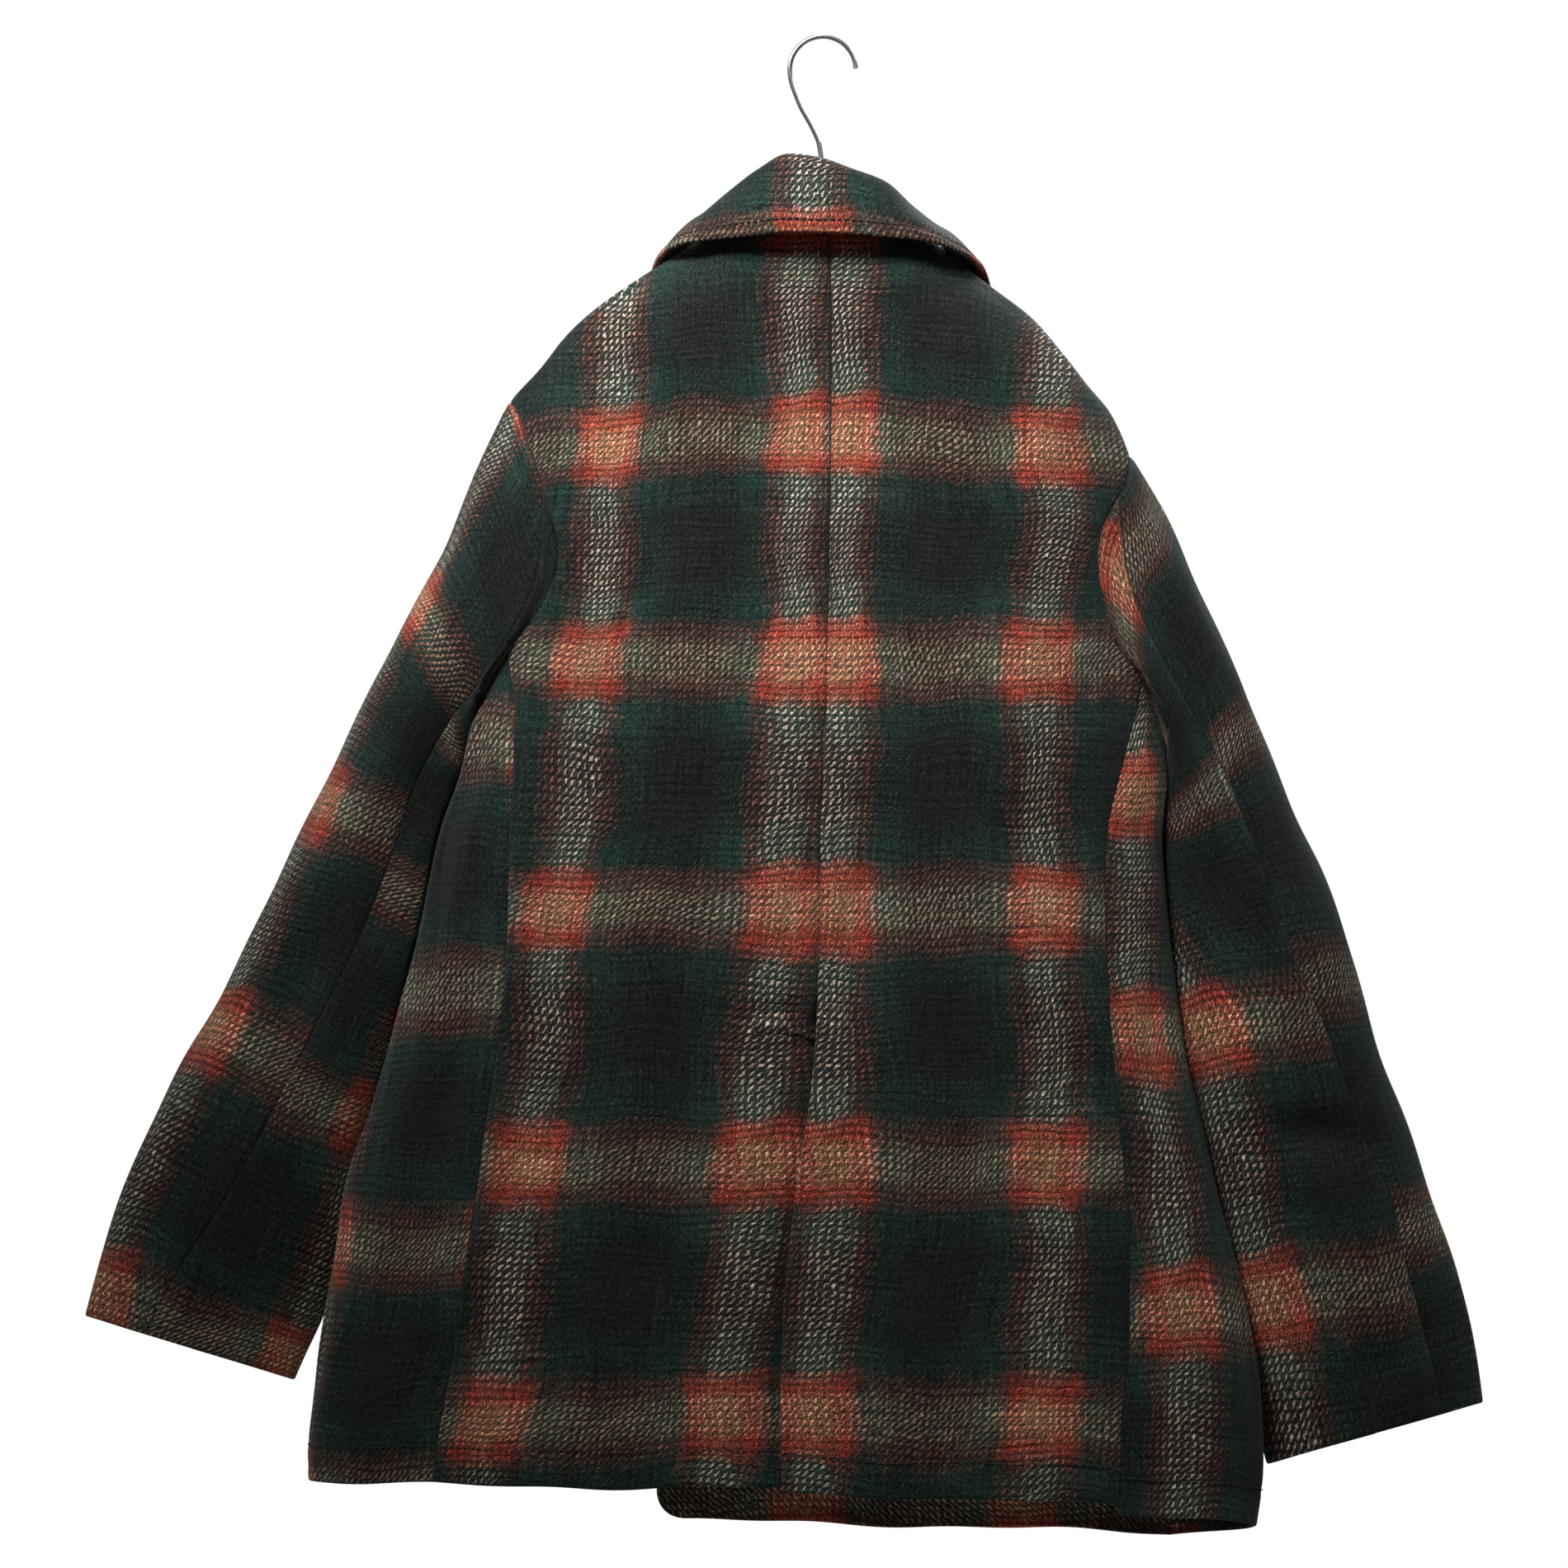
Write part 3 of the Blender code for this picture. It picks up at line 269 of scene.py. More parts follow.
REPEAT_WIDE = 128.0
REPEAT_HIGH = 152.0
BACK_BANDS = {
    "columns": ("z", "middle_x", "outer_x"),
    "left": ((-106, 14.5, 122), (-247, 14.5, 129), (-378.5, 15, 140), (-478, 21, 153), (-528.5, 26, 161.5),
             (-683.5, 38.5, 177.5), (-848.5, 60, 199)),
    "right": ((-106, -14.5, -138), (-253, -14.5, -140), (-378.5, -14.5, -131.5), (-528.5, -8.5, -133.5),
              (-683.5, -6, -140), (-848.5, 4, -132.5)),
}
LEVEL_BANDS = {
    "columns": ("z", "count"),
    "back": ((-838.5, 0), (-683.5, 1), (-528.5, 2), (-378.5, 3), (-241, 4), (-104, 5)),
    "side_left": ((-883, 0), (-733.5, 1), (-578.5, 2), (-428.5, 3), (-280, 4)),
    "side_right": ((-930, 0), (-773.5, 1), (-603.5, 2), (-461, 3), (-310, 4)),
    "front": ((-884, 0), (-732, 1), (-580, 2), (-428, 3), (-276, 4), (-124, 5)),
}
SHOULDER_BEND = 20.0
STITCH_SINK = 0.55
STITCH_SHARE = 0.38
DRAPE_LONG = 1.45
DRAPE_SHORT = 0.8
PANEL_WIDE = 220.0
PANEL_LONG = 700.0
SLEEVE_GIRTH = 150.0
COLLAR_LONG = 560.0
COLLAR_DEEP = 95.0
FOLD_ENDS = 0.35
SIDE_DRAPE = 0.6
EDGE_CALM = (2, 18)
EDGE_WAVE_REACH = 45
SLEEVE_FOLD_START = (6, 60)
SLEEVE_DRAPE_START = (4, 40)
SLEEVE_TURN_WIDE = 0.9
SLEEVE_RIM = 25
SLEEVE_RIM_TURNS = (150, 110)
ARMPIT_LOW = 14
ARMPIT_REACH = 26
SIDE_SEAM_CALM = 16
VENT_SHADOW_AT = 1.2
VENT_SHADOW_WIDE = 2.6
VENT_THREAD_RISE = 0.9
SHOULDER_BEND_X = 190
SHOULDER_BEND_Z = (-400, -200)
FRONT_BAND_X = 8
COLLAR_LIP = (0.87, 0.018, 0.9)
COLLAR_DIP = (0.94, 0.035, 0.7)
COLLAR_TILT = 0.05
COLLAR_HALF_WALL = 1.5
THREAD = 0.42
HEM_INSET = 22.0
EDGE_WAVE = 1.1
VENT_SHADOW = 3.4
EDGE_INSET = 6.0
COLLAR_INSET = 8.0
COLLAR_DROOP = 1.6
VENT_STITCHES = ((42, -592.5), (18, -589.5), (5.5, -588.5))
WARP_SHARE = 0.54
LEFT_SIDE_BAND = 104.0
RIGHT_SIDE_BAND = {
    "columns": ("z", "x"),
    "rows": ((-391, -190), (-578, -191), (-678, -211), (-828, -221), (-907, -222)),
}
SLEEVE_BANDS = {
    "columns": ("reach", "count", "turn"),
    "left_upper": ((-22, 4, 20), (128, 3, 20), (265, 2, 20), (420, 1, 20), (597, 0, 20)),
    "left_under": ((-60, 4, 122), (0, 3.7, 122), (59, 3.5, 176), (95, 3.35, 206), (160, 3, 235),
                   (302, 2, 190), (437, 1, 158), (597, 0, 158), (750, -1, 158)),
    "right_upper": ((-113, 4, -30), (32, 3, -30), (178, 2, -30), (342, 1, -30), (501, 0, -30),
                    (655, -1, -30)),
    "right_under": ((30, 3, 185), (110, 2.53, 196), (200, 2, 204), (285, 1.46, 168),
                    (358, 1, 129), (529, 0, 130), (690, -1, 130)),
}
COLLAR_BAND_X = 6.5
COLLAR_BAND_STEP = 1.16

# How fine each grid is: rows down the piece and columns across it.

BACK_GRID = (300, 84)
SIDE_GRID = (150, 40)
FRONT_GRID = (210, 84)
SLEEVE_GRID = (170, 70)
COLLAR_GRID = (240, 64)
HOOK_SECTIONS = 220
HOOK_ROUNDING = 5
RIM_STEPS = (0.0, 0.35, 0.9, 1.7, 2.8)
RIM_INNER = 4.5
RIM_REACH = 1.9
RIM_WALL = 0.2
SEAM_REACH = 5.0
HEM_GROOVE = 1.6
LAP_GROOVE = 1.4

# Finishes of the hard pieces, the thread and the floor, and the lights, in metres and watts.

FINISHES = {
    "columns": ("roughness", "metallic", "grain", "contrast", "relief", "coat"),
    "sewing_thread": (0.6, 0.0, (2500.0, 2500.0, 2500.0), 0.4, 0.0002, 0.0),
    "brushed_steel": (0.3, 1.0, (300.0, 300.0, 2600.0), 0.06, 0.00002, 0.0),
    "hanger_beech": (0.45, 0.0, (14.0, 260.0, 260.0), 0.3, 0.00015, 0.2),
    "polished_horn": (0.3, 0.0, (140.0, 140.0, 60.0), 0.5, 0.0001, 0.3),
    "pale_floor": (0.7, 0.0, (6.0, 6.0, 6.0), 0.02, 0.0002, 0.0),
}
LIGHTS = {
    "columns": ("name", "place", "aim", "size", "power", "spread"),
    "rows": (
        ("key_light", (0.4, 0.9, 0.75), (0.02, 0.0, -0.22), 0.5, 2.2, 44.0),
        ("left_light", (0.9, 0.3, 0.5), (0.02, 0.0, -0.45), 0.5, 4.0, 180.0),
        ("right_light", (-1.3, 0.4, 0.9), (0.02, 0.0, -0.45), 0.6, 8.0, 180.0),
        ("front_light", (-0.3, -0.9, 0.6), (0.0, 0.0, -0.4), 0.8, 24.0, 180.0),
    ),
}
ROOM_LIGHT = 0.08
FLOOR_SIZE = 4.0
FLOOR_Z = -1.72
CAMERA_AT = (0.0235, 2.4, -0.4515)
SENSOR = 36.0
VIEW_WIDTH = 950.0
WHITE = (1.0, 1.0, 1.0, 1.0)
MM = 0.001


def smooth(at, xs, ys):
    """A curve through table points that never overshoots them, and runs on straight past its ends."""
    xs = np.asarray(xs, float)
    ys = np.asarray(ys, float)
    if xs[0] > xs[-1]:
        xs = xs[::-1]
        ys = ys[::-1]
    run = np.diff(xs)
    slope = np.diff(ys) / run
    lean = np.empty(len(xs))
    lean[0] = slope[0]
    lean[-1] = slope[-1]
    same = slope[:-1] * slope[1:] > 0
    total = np.where(same, slope[:-1] + slope[1:], 1.0)
    lean[1:-1] = np.where(same, 2 * slope[:-1] * slope[1:] / total, 0.0)
    inside = np.clip(at, xs[0], xs[-1])
    past = at - inside
    i = np.clip(np.searchsorted(xs, inside, side="right") - 1, 0, len(run) - 1)
    t = (inside - xs[i]) / run[i]
    rise = lean[i] * (t - 2 * t**2 + t**3) + lean[i + 1] * (t**3 - t**2)
    value = ys[i] * (1 - 3 * t**2 + 2 * t**3) + ys[i + 1] * (3 * t**2 - 2 * t**3) + rise * run[i]
    return value + past * np.where(past < 0, lean[0], lean[-1])


def read(table, name, at, rows="rows"):
    """One named column of a table, at any value of its first column."""
    column = table["columns"].index(name)
    values = np.array(table[rows], float)
    return smooth(at, values[:, 0], values[:, column])


def fade(value, start, end):
    t = np.clip((value - start) / (end - start), 0, 1)
    return t * t * (3 - 2 * t)


def place(x, y, z):
    """Carries a place on the hook's plane along the line of sight to depth y."""
    scale = 1 - y / SIGHT
    return np.stack(
        [EYE_X + (x - EYE_X) * scale + ORIGIN_X, y + 0 * scale, EYE_Z + (z - EYE_Z) * scale + ORIGIN_Z],
        axis=-1,
    )


def side_sign(side):
    return 1 if side == "left" else -1


def ridge(x):
    return read(RIDGE, "z", x)


def centre_and_half(z):
    left = read(SECTION, "left", z)
    right = read(SECTION, "right", z)
    return (left + right) / 2, (left - right) / 2


def flutes(angle, z):
    """Soft drape below the chest, as a share of the section's depth."""
    swell = 0 * angle
    for middle, spread, depth in FLUTES["rows"]:
        off = (np.degrees(angle) - middle + 180) % 360 - 180
        swell = swell + depth * np.exp(-((off / spread) ** 2))
    return swell * fade(z, FLUTE_TOP, FLUTE_FULL)


def body(angle, z):
    """The body's outer face: angle 0 is the back, +90 degrees the wearer's left side."""
    angle = np.asarray(angle, float)
    z = np.asarray(z, float)
    centre, half = centre_and_half(z)
    x = centre + half * np.sin(angle)
    deep = np.where(np.cos(angle) > 0, read(SECTION, "back", z), read(SECTION, "front", z))
    drop = np.clip((ridge(x) - z) / SHOULDER_ROUND, 0, 1)
    top = np.sqrt(1 - (1 - drop) ** 2)
    round_off = np.cos(angle) * (1 + FULLNESS * np.sin(angle) ** 2)
    y = read(SECTION, "middle", z) + top * deep * round_off * (1 + flutes(angle, z))
    return place(x, y, z)


def normals(surface, a, b, step_a, step_b):
    along_a = surface(a + step_a, b) - surface(a - step_a, b)
    along_b = surface(a, b + step_b) - surface(a, b - step_b)
    out = np.cross(along_a, along_b)
    return out / np.linalg.norm(out, axis=-1, keepdims=True)


def body_normals(angle, z):
    return -normals(body, angle, z, 0.002, 0.04)


def back_angle(x, z):
    centre, half = centre_and_half(z)
    return np.arcsin(np.clip((x - centre) / half, -1, 1))


def front_angle(x, z):
    return math.pi - back_angle(x, z)


def grid_x(grid):
    centre, half = centre_and_half(grid[..., 1])
    return centre + half * np.sin(grid[..., 0])


def armhole(side, turn):
    """Angle and height on the body at a turn round the armhole: 0 top, 180 bottom."""
    table = ARMHOLE[side]
    turn = np.asarray(turn, float)
    back = turn <= 180
    near = np.where(back, turn, 360 - turn)
    z = table["top"] + (table["bottom"] - table["top"]) * (1 - np.cos(np.radians(near))) / 2
    angle = np.radians(read(table, "angle", near))
    scoop = math.radians(FRONT_SCOOP) * np.sin(np.radians(near)) ** 2
    angle = np.where(back, angle, math.pi - angle + scoop)
    if side == "right":
        angle = -angle
    return angle, z


def lines(xs, zs, angle_of):
    xs = np.asarray(xs, float)
    zs = np.asarray(zs, float)
    return np.stack([angle_of(xs, zs), zs], axis=-1)


def ring_turns(side, first, last):
    turns = [turn for turn in ARMHOLE[side]["turns"] if first <= turn <= last]
    return np.array(turns, float)


def armhole_line(side, turns):
    return np.stack(armhole(side, turns), axis=-1)


def sewn_heights(side):
    top = armhole(side, ARMHOLE[side]["side_seam"])[1]
    return np.linspace(top, HEM["back_" + side][1], LEVELS + 1)


def side_front_line(side, heights):
    """The seam between side and front, from the armhole to the hem."""
    start = armhole(side, 360 - ARMHOLE[side]["side_seam"])[0]
    share = np.linspace(0, 1, len(heights))
    high, low = SIDE_FRONT_REACH[side]
    reach = np.degrees(np.arcsin(high + (low - high) * share))
    target = side_sign(side) * np.radians(180 - reach)
    pull = fade(share, 0, 0.25)
    return np.stack([start * (1 - pull) + target * pull, heights], axis=-1)


def side_back_line(side, heights):
    line = lines(read(SIDE_BACK_SEAM, "x", heights, side), heights, back_angle)
    line[0, 0] = armhole(side, ARMHOLE[side]["side_seam"])[0]
    return line


def neck_rows(rows, side):
    table = np.array(rows, float)
    if side == "right":
        table[:, 1] -= RIGHT_NECK_DROP * np.abs(table[:, 0]) / SHOULDER_X["right"][0]
        table[:, 0] *= -1
    return table


def front_turned(line):
    turned = line.copy()
    turned[..., 0] = turned[..., 0] % (2 * math.pi)
    return turned


def shoulder_line(side, angle_of):
    given = SHOULDER_X[side]
    xs = np.interp(np.linspace(0, len(given) - 1, SHOULDER_STEPS), np.arange(len(given)), given)
    xs = side_sign(side) * xs
    line = lines(xs, ridge(xs), angle_of)
    if angle_of is back_angle:
        line[-1] = armhole(side, 0)
    else:
        line[-1] = front_turned(np.array(armhole(side, 360)))
    return line


def rim_spread(count, length):
    """Shares from 0 to 1, close together at both ends so that an edge can be rounded."""
    near = np.array(RIM_STEPS) / length
    inner = np.linspace(RIM_INNER / length, 1 - RIM_INNER / length, count - 2 * len(near))
    return np.concatenate([near, inner, 1 - near[::-1]])


def finer(line, shares):
    at = shares * (len(line) - 1)
    index = np.arange(len(line))
    return np.stack([smooth(at, index, line[:, k]) for k in range(line.shape[1])], axis=-1)


def patch(top, bottom, left, right, rows, columns):
    """Fills four border lines of (angle, z) with a grid of the given counts."""
    a = rim_spread(columns, PANEL_WIDE)
    b = rim_spread(rows, PANEL_LONG)
    top, bottom, left, right = finer(top, a), finer(bottom, a), finer(left, b), finer(right, b)
    a = a[None, :, None]
    b = b[:, None, None]
    flat = (1 - b) * top[None] + b * bottom[None] + (1 - a) * left[:, None] + a * right[:, None]
    corners = (1 - a) * (1 - b) * top[0] + a * (1 - b) * top[-1]
    corners = corners + (1 - a) * b * bottom[0] + a * b * bottom[-1]
    return flat - corners


def straight_hem(start, end, count=12):
    return start + (end - start) * np.linspace(0, 1, count)[:, None]


def cloth_run(points):
    """Arc length along each row of points, from its first one."""
    along = np.linalg.norm(np.diff(points, axis=-2), axis=-1)
    return np.concatenate([0 * points[..., :1, 0], np.cumsum(along, axis=-1)], axis=-1)


def border_distances(points):
    """How far each point of a grid lies from its four borders, along the cloth."""
    left = cloth_run(points)
    top = cloth_run(np.swapaxes(points, 0, 1)).T
    return {"left": left, "right": left[:, -1:] - left, "top": top, "bottom": top[-1:] - top}


def edge_distance(points, free):
    """Distance of each point of a grid from the nearest border, and from the nearest sewn one."""
    reach = border_distances(points)
    every = np.minimum.reduce(list(reach.values()))
    sewn = [value for key, value in reach.items() if key not in free]
    return every, np.minimum.reduce(sewn) if sewn else every + 1000.0


def trough(a, b, fold, scale_a=1.0):
    """How deep one fold lies at each place (a, b), uneven along its run."""
    a1, b1, a2, b2, width, depth = fold
    along = np.array([(a2 - a1) * scale_a, b2 - b1], float)
    length = np.linalg.norm(along)
    along = along / length
    da = (a - a1) * scale_a
    db = b - b1
    run = np.clip((da * along[0] + db * along[1]) / length, 0, 1)
    gap = np.hypot(da - run * length * along[0], db - run * length * along[1])
    return depth * np.exp(-((gap / width) ** 2)) * (
        FOLD_ENDS + (1 - FOLD_ENDS) * np.sin(math.pi * run))


def drape(a, b):
    """Slow waves of cloth that hangs freely, in millimetres."""
    long = np.sin(a / 17 + b / 95 + 0.7 * np.sin(b / 60)) * (0.9 + 0.5 * np.sin(b / 71 - a / 37))
    short = np.sin(a / 9.5 - b / 34) * np.sin(b / 21 + a / 43)
    return DRAPE_LONG * long + DRAPE_SHORT * short


def edge_wave(along, reach):
    """Small rises and falls of a hanging edge, in millimetres."""
    wave = EDGE_WAVE * (np.sin(along / 29) + 0.6 * np.sin(along / 12.5 + 1.3))
    return wave * (1 - fade(reach, 0, EDGE_WAVE_REACH))


def body_relief(grid, face):
    x = grid_x(grid)
    z = grid[..., 1]
    sunk = 0 * x
    for fold in BODY_FOLDS[face]:
        sunk = sunk + trough(x, z, fold)
    return drape(x, z) - sunk


def sleeve(side, turn, reach):
    """The sleeve's outer face: turn 0 is its outer edge, 90 the back, 180 the inner edge."""
    turn = np.asarray(turn, float)
    reach = np.asarray(reach, float)
    radians = np.radians(turn)
    share = (1 + np.cos(radians)) / 2

    def free(distance):
        inner_x, outer_x, inner_z, outer_z, y, deep = (
            read(SLEEVE, name, distance, side)
            for name in ("inner_x", "outer_x", "inner_z", "outer_z", "y", "deep"))
        bulge = np.sin(radians) * (1 + SLEEVE_FULLNESS * np.cos(radians) ** 2)
        x = inner_x * (1 - share) + outer_x * share
        return x, y + deep * bulge, inner_z * (1 - share) + outer_z * share

    x, y, z = free(reach)
    start = place(*free(0 * reach))
    settle = 1 - fade(reach, 0, SLEEVE_SETTLE)
    ring = body(*armhole(side, np.clip(turn % 360, 0, 360)))
    return place(x, y, z) + (ring - start) * settle[..., None]


def folded_sleeve(side, turn, reach):
    """The sleeve with its folds, kept clear of the body's side."""
    point = sleeve(side, turn, reach)
    out = normals(lambda a, b: sleeve(side, a, b), turn, reach, 0.5, 0.5)
    out = out * (-side_sign(side))
    sunk = 0 * reach
    for fold in SLEEVE_FOLDS["rows"]:
        if fold[0] == side:
            sunk = sunk + trough(turn % 360, reach, fold[1:], SLEEVE_TURN_WIDE)
    sunk = sunk * fade(reach, *SLEEVE_FOLD_START)
    sunk = sunk + drape(turn * SLEEVE_TURN_WIDE, reach) * fade(reach, *SLEEVE_DRAPE_START)
    return clear_of_body(side, point - out * sunk[..., None])


def clear_of_body(side, point):
    """Where the sleeve would lie in the body's side, it lies against its front instead."""
    x = point[..., 0] - ORIGIN_X
    z = point[..., 2] - ORIGIN_Z
    centre, half = centre_and_half(z)
    inside = np.clip(np.abs(x - centre) / (half + SLEEVE_CLEAR), 0, 1)
    lean = np.sqrt(1 - inside**2)
    front = read(SECTION, "middle", z) - (read(SECTION, "front", z) + SLEEVE_CLEAR) * lean * (
        1 + FULLNESS * inside**2
    )
    below = fade(z, ARMHOLE[side]["bottom"] + 1, ARMHOLE[side]["bottom"] - 8)
    push = np.where(inside < 1, np.maximum(point[..., 1] - front + SLEEVE_CLEAR, 0), 0) * below
    moved = point.copy()
    moved[..., 1] = moved[..., 1] - push
    return moved


def back_neck(side):
    rows = neck_rows(NECK_BACK, side)
    rows[0, 0] = read(CENTRE_SEAM, "x", CENTRE_TOP)
    return rows


def neckline(side):
    back = back_neck(side)
    front = neck_rows(NECK_FRONT, side)
    neck_x = side_sign(side) * SHOULDER_X[side][0]
    back = np.concatenate([back, np.array([[neck_x, ridge(neck_x)]])])
    return np.concatenate([
        body(back_angle(back[:, 0], back[:, 1]), back[:, 1]),
        body(front_angle(front[:, 0], front[:, 1]), front[:, 1]),
    ])


def collar_lines():
    """Neck seam, roll and edge of the whole collar, from its left front to its right front."""
    sides = []
    for side, rows in (("left", COLLAR_LEFT), ("right", COLLAR_RIGHT)):
        table = np.array(rows, float)
        sides.append((neckline(side), place(*table[:, :3].T), place(*table[:, 3:].T)))
    return [np.concatenate([left[::-1], right[1:]]) for left, right in zip(*sides)]


def collar(station, step):
    """The collar's middle face: up from the neck seam, over the roll and down to the edge."""
    along = []
    for line in collar_lines():
        at = np.arange(len(line))
        along.append(np.stack([smooth(station, at, line[:, k]) for k in range(3)], axis=-1))
    seam, roll, edge = along
    lean = roll - seam
    seam = seam + lean / np.linalg.norm(lean, axis=-1, keepdims=True) * (NECK_GAP + COLLAR_FOOT)
    ends = (seam + edge) / 2
    top = ends + (roll - ends) * 4 / 3
    spread = (seam - edge) * COLLAR_ROLL / 2
    t = np.asarray(step)[..., None]
    rise = top + spread
    fall = top - spread
    return (1 - t) ** 3 * seam + 3 * (1 - t) ** 2 * t * rise + 3 * (1 - t) * t**2 * fall + t**3 * edge


def hook_path(count):
    turns = np.radians(np.arange(HOOK_END_TURN, HOOK_START_TURN + 1, 8))
    arc = [(HOOK_X + HOOK_RADIUS * math.sin(a), HOOK_Z + HOOK_RADIUS * math.cos(a)) for a in turns]
    bend = np.array(arc + list(STEM), float)
    run = cloth_run(bend)
    at = np.linspace(0, run[-1], count)
    return place(smooth(at, run, bend[:, 0]), 0 * at, smooth(at, run, bend[:, 1]))


def length(name, value, description, least, most):
    return FloatProperty(
        name=name, description=description, default=value, min=least, max=most, precision=4, unit="LENGTH",
        subtype="DISTANCE")


class CoatSizes(PropertyGroup):
    wall: length("Cloth thickness", 0.003, "Thickness of the wool", 0.001, 0.004)
    tick_wide: length("Tick width", 0.004, "From one twill tick to the next, across", 0.001, 0.01)
    tick_high: length("Tick height", 0.0046, "From one twill tick to the next, up", 0.001, 0.01)
    nap: FloatProperty(
        name="Tick contrast", description="How far the top yarn's colour stands out", default=0.36,
        min=0.0, max=0.5, subtype="FACTOR")
    seam_dip: length("Seam dip", 0.0009, "How far the cloth sinks beside a seam", 0.0, 0.003)
    stitch: length("Stitch length", 0.0042, "Length of one stitch", 0.002, 0.01)


def colour(name, value, description):
    return FloatVectorProperty(
        name=name, description=description, default=value, size=3, min=0.0, max=3.0, subtype="COLOR")


class CoatColours(PropertyGroup):
    green: colour("Green yarn", (0.016, 0.034, 0.028), "Ground next to the bands")
    charcoal: colour("Charcoal yarn", (0.013, 0.014, 0.0125), "Middle of the ground")
    rust: colour("Rust yarn", (0.26, 0.03, 0.021), "Upright yarn at the rim of a crossing")
    ember: colour("Ember yarn", (0.38, 0.062, 0.04), "Level yarn at the rim of a crossing")
    brown: colour("Brown yarn", (0.2, 0.062, 0.045), "Outer stripes of a band over the ground")
    cream: colour("Cream yarn", (0.5, 0.36, 0.27), "Middle of an upright band")
    tan: colour("Tan yarn", (0.42, 0.26, 0.17), "Middle of a level band")
    fire: colour("Crossing, upright yarn", (0.5, 0.19, 0.135), "Tint of the upright yarn where bands cross")
    gold: colour("Crossing, level yarn", (1.3, 1.5, 1.4), "Tint of the level yarn where bands cross")
    thread: colour("Sewing thread", (0.012, 0.016, 0.015), "Stitches")
    horn: colour("Horn", (0.03, 0.018, 0.01), "Buttons")
    wood: colour("Wood", (0.33, 0.19, 0.09), "Hanger")
    steel: colour("Steel", (0.62, 0.62, 0.61), "Hook")
    floor: colour("Floor", (0.8, 0.8, 0.8), "Floor under the coat")


class Maker:
    """Adds linked nodes to one node tree."""

    def __init__(self, tree):
        self.tree = tree

    def node(self, kind, inputs=(), **settings):
        node = self.tree.nodes.new(kind)
        for key, value in settings.items():
            setattr(node, key, value)
        for key, value in dict(inputs).items():
            self.feed(node.inputs[key], value)
        return node

    def feed(self, socket, value):
        if hasattr(value, "links"):
            self.tree.links.new(value, socket)
        else:
            socket.default_value = value

    def math(self, operation, *values):
        node = self.tree.nodes.new("ShaderNodeMath")
        node.operation = operation
        for socket, value in zip(node.inputs, values):
            self.feed(socket, value)
        return node.outputs[0]

    def vector(self, operation, first, second):
        key = "Scale" if operation == "SCALE" else 1
        return self.node("ShaderNodeVectorMath", {0: first, key: second}, operation=operation).outputs[0]

    def noise(self, at, scale, detail, roughness=0.5, output="Fac", dimensions="2D"):
        inputs = {"Vector": at, "Scale": scale, "Detail": detail, "Roughness": roughness}
        return self.node("ShaderNodeTexNoise", inputs, noise_dimensions=dimensions).outputs[output]

    def ranged(self, value, low, high, to_low=0.0, to_high=1.0, kind="LINEAR"):
        """A value carried from one range to another."""
        inputs = {"Value": value, "From Min": low, "From Max": high, "To Min": to_low, "To Max": to_high}
        return self.node("ShaderNodeMapRange", inputs, interpolation_type=kind).outputs["Result"]

    def mix(self, share, first, second, blend="MIX"):
        node = self.tree.nodes.new("ShaderNodeMix")
        node.data_type = "RGBA"
        node.blend_type = blend
        self.feed(node.inputs["Factor"], share)
        self.feed(node.inputs["A"], first)
        self.feed(node.inputs["B"], second)
        return node.outputs["Result"]


def group_tree(name, inputs, outputs):
    """A new shader group with its sockets, and nodes for both ends of it."""
    tree = bpy.data.node_groups.new(name, "ShaderNodeTree")
    for label, kind in inputs:
        tree.interface.new_socket(name=label, in_out="INPUT", socket_type="NodeSocket" + kind)
    for label, kind in outputs:
        tree.interface.new_socket(name=label, in_out="OUTPUT", socket_type="NodeSocket" + kind)
    return tree, tree.nodes.new("NodeGroupInput"), tree.nodes.new("NodeGroupOutput")


def stripes_group():
    """Yarn colour across one repeat, by distance from the middle of a band."""
    name = "check_stripes"
    if name in bpy.data.node_groups:
        return bpy.data.node_groups[name]
    tree, start, end = group_tree(
        name,
        (("Count", "Float"), ("Middle", "Color"), ("Edge", "Color"), ("Near", "Color"), ("Far", "Color")),
        (("Color", "Color"), ("Band", "Float")))
    make = Maker(tree)
    away = make.math("PINGPONG", start.outputs["Count"], 0.5)

    def step(low, high):
        return make.ranged(away, low, high, kind="SMOOTHSTEP")

    tone = start.outputs["Middle"]
    for low, high, yarn in ((0.036, 0.118, "Edge"), (0.108, 0.206, "Near"), (0.22, 0.4, "Far")):
        tone = make.mix(step(low, high), tone, start.outputs[yarn])
    make.feed(end.inputs["Color"], tone)
    make.feed(end.inputs["Band"], make.math("SUBTRACT", 1.0, step(0.1, 0.25)))
    return tree


def weave_group():
    """Twill ticks rising to the right: which yarn is on top, and how high it stands."""
    name = "twill_weave"
    if name in bpy.data.node_groups:
        return bpy.data.node_groups[name]
    tree, start, end = group_tree(
        name, (("Across", "Float"), ("Up", "Float")), (("Warp", "Float"), ("Height", "Float")))
    make = Maker(tree)

    def wave(count):
        return make.math("COSINE", make.math("MULTIPLY", count, 2 * math.pi))

    x = start.outputs["Across"]
    y = start.outputs["Up"]
    slant = make.math("MULTIPLY", wave(make.math("SUBTRACT", x, y)), 0.5)
    column = make.math("MULTIPLY", wave(x), 0.25)
    lean = make.math("ADD", slant, column)
    make.feed(end.inputs["Warp"], make.ranged(lean, -0.22, 0.52))
    make.feed(end.inputs["Height"], make.math("ABSOLUTE", lean))
    return tree


def rgba(value):
    return (value[0], value[1], value[2], 1.0)


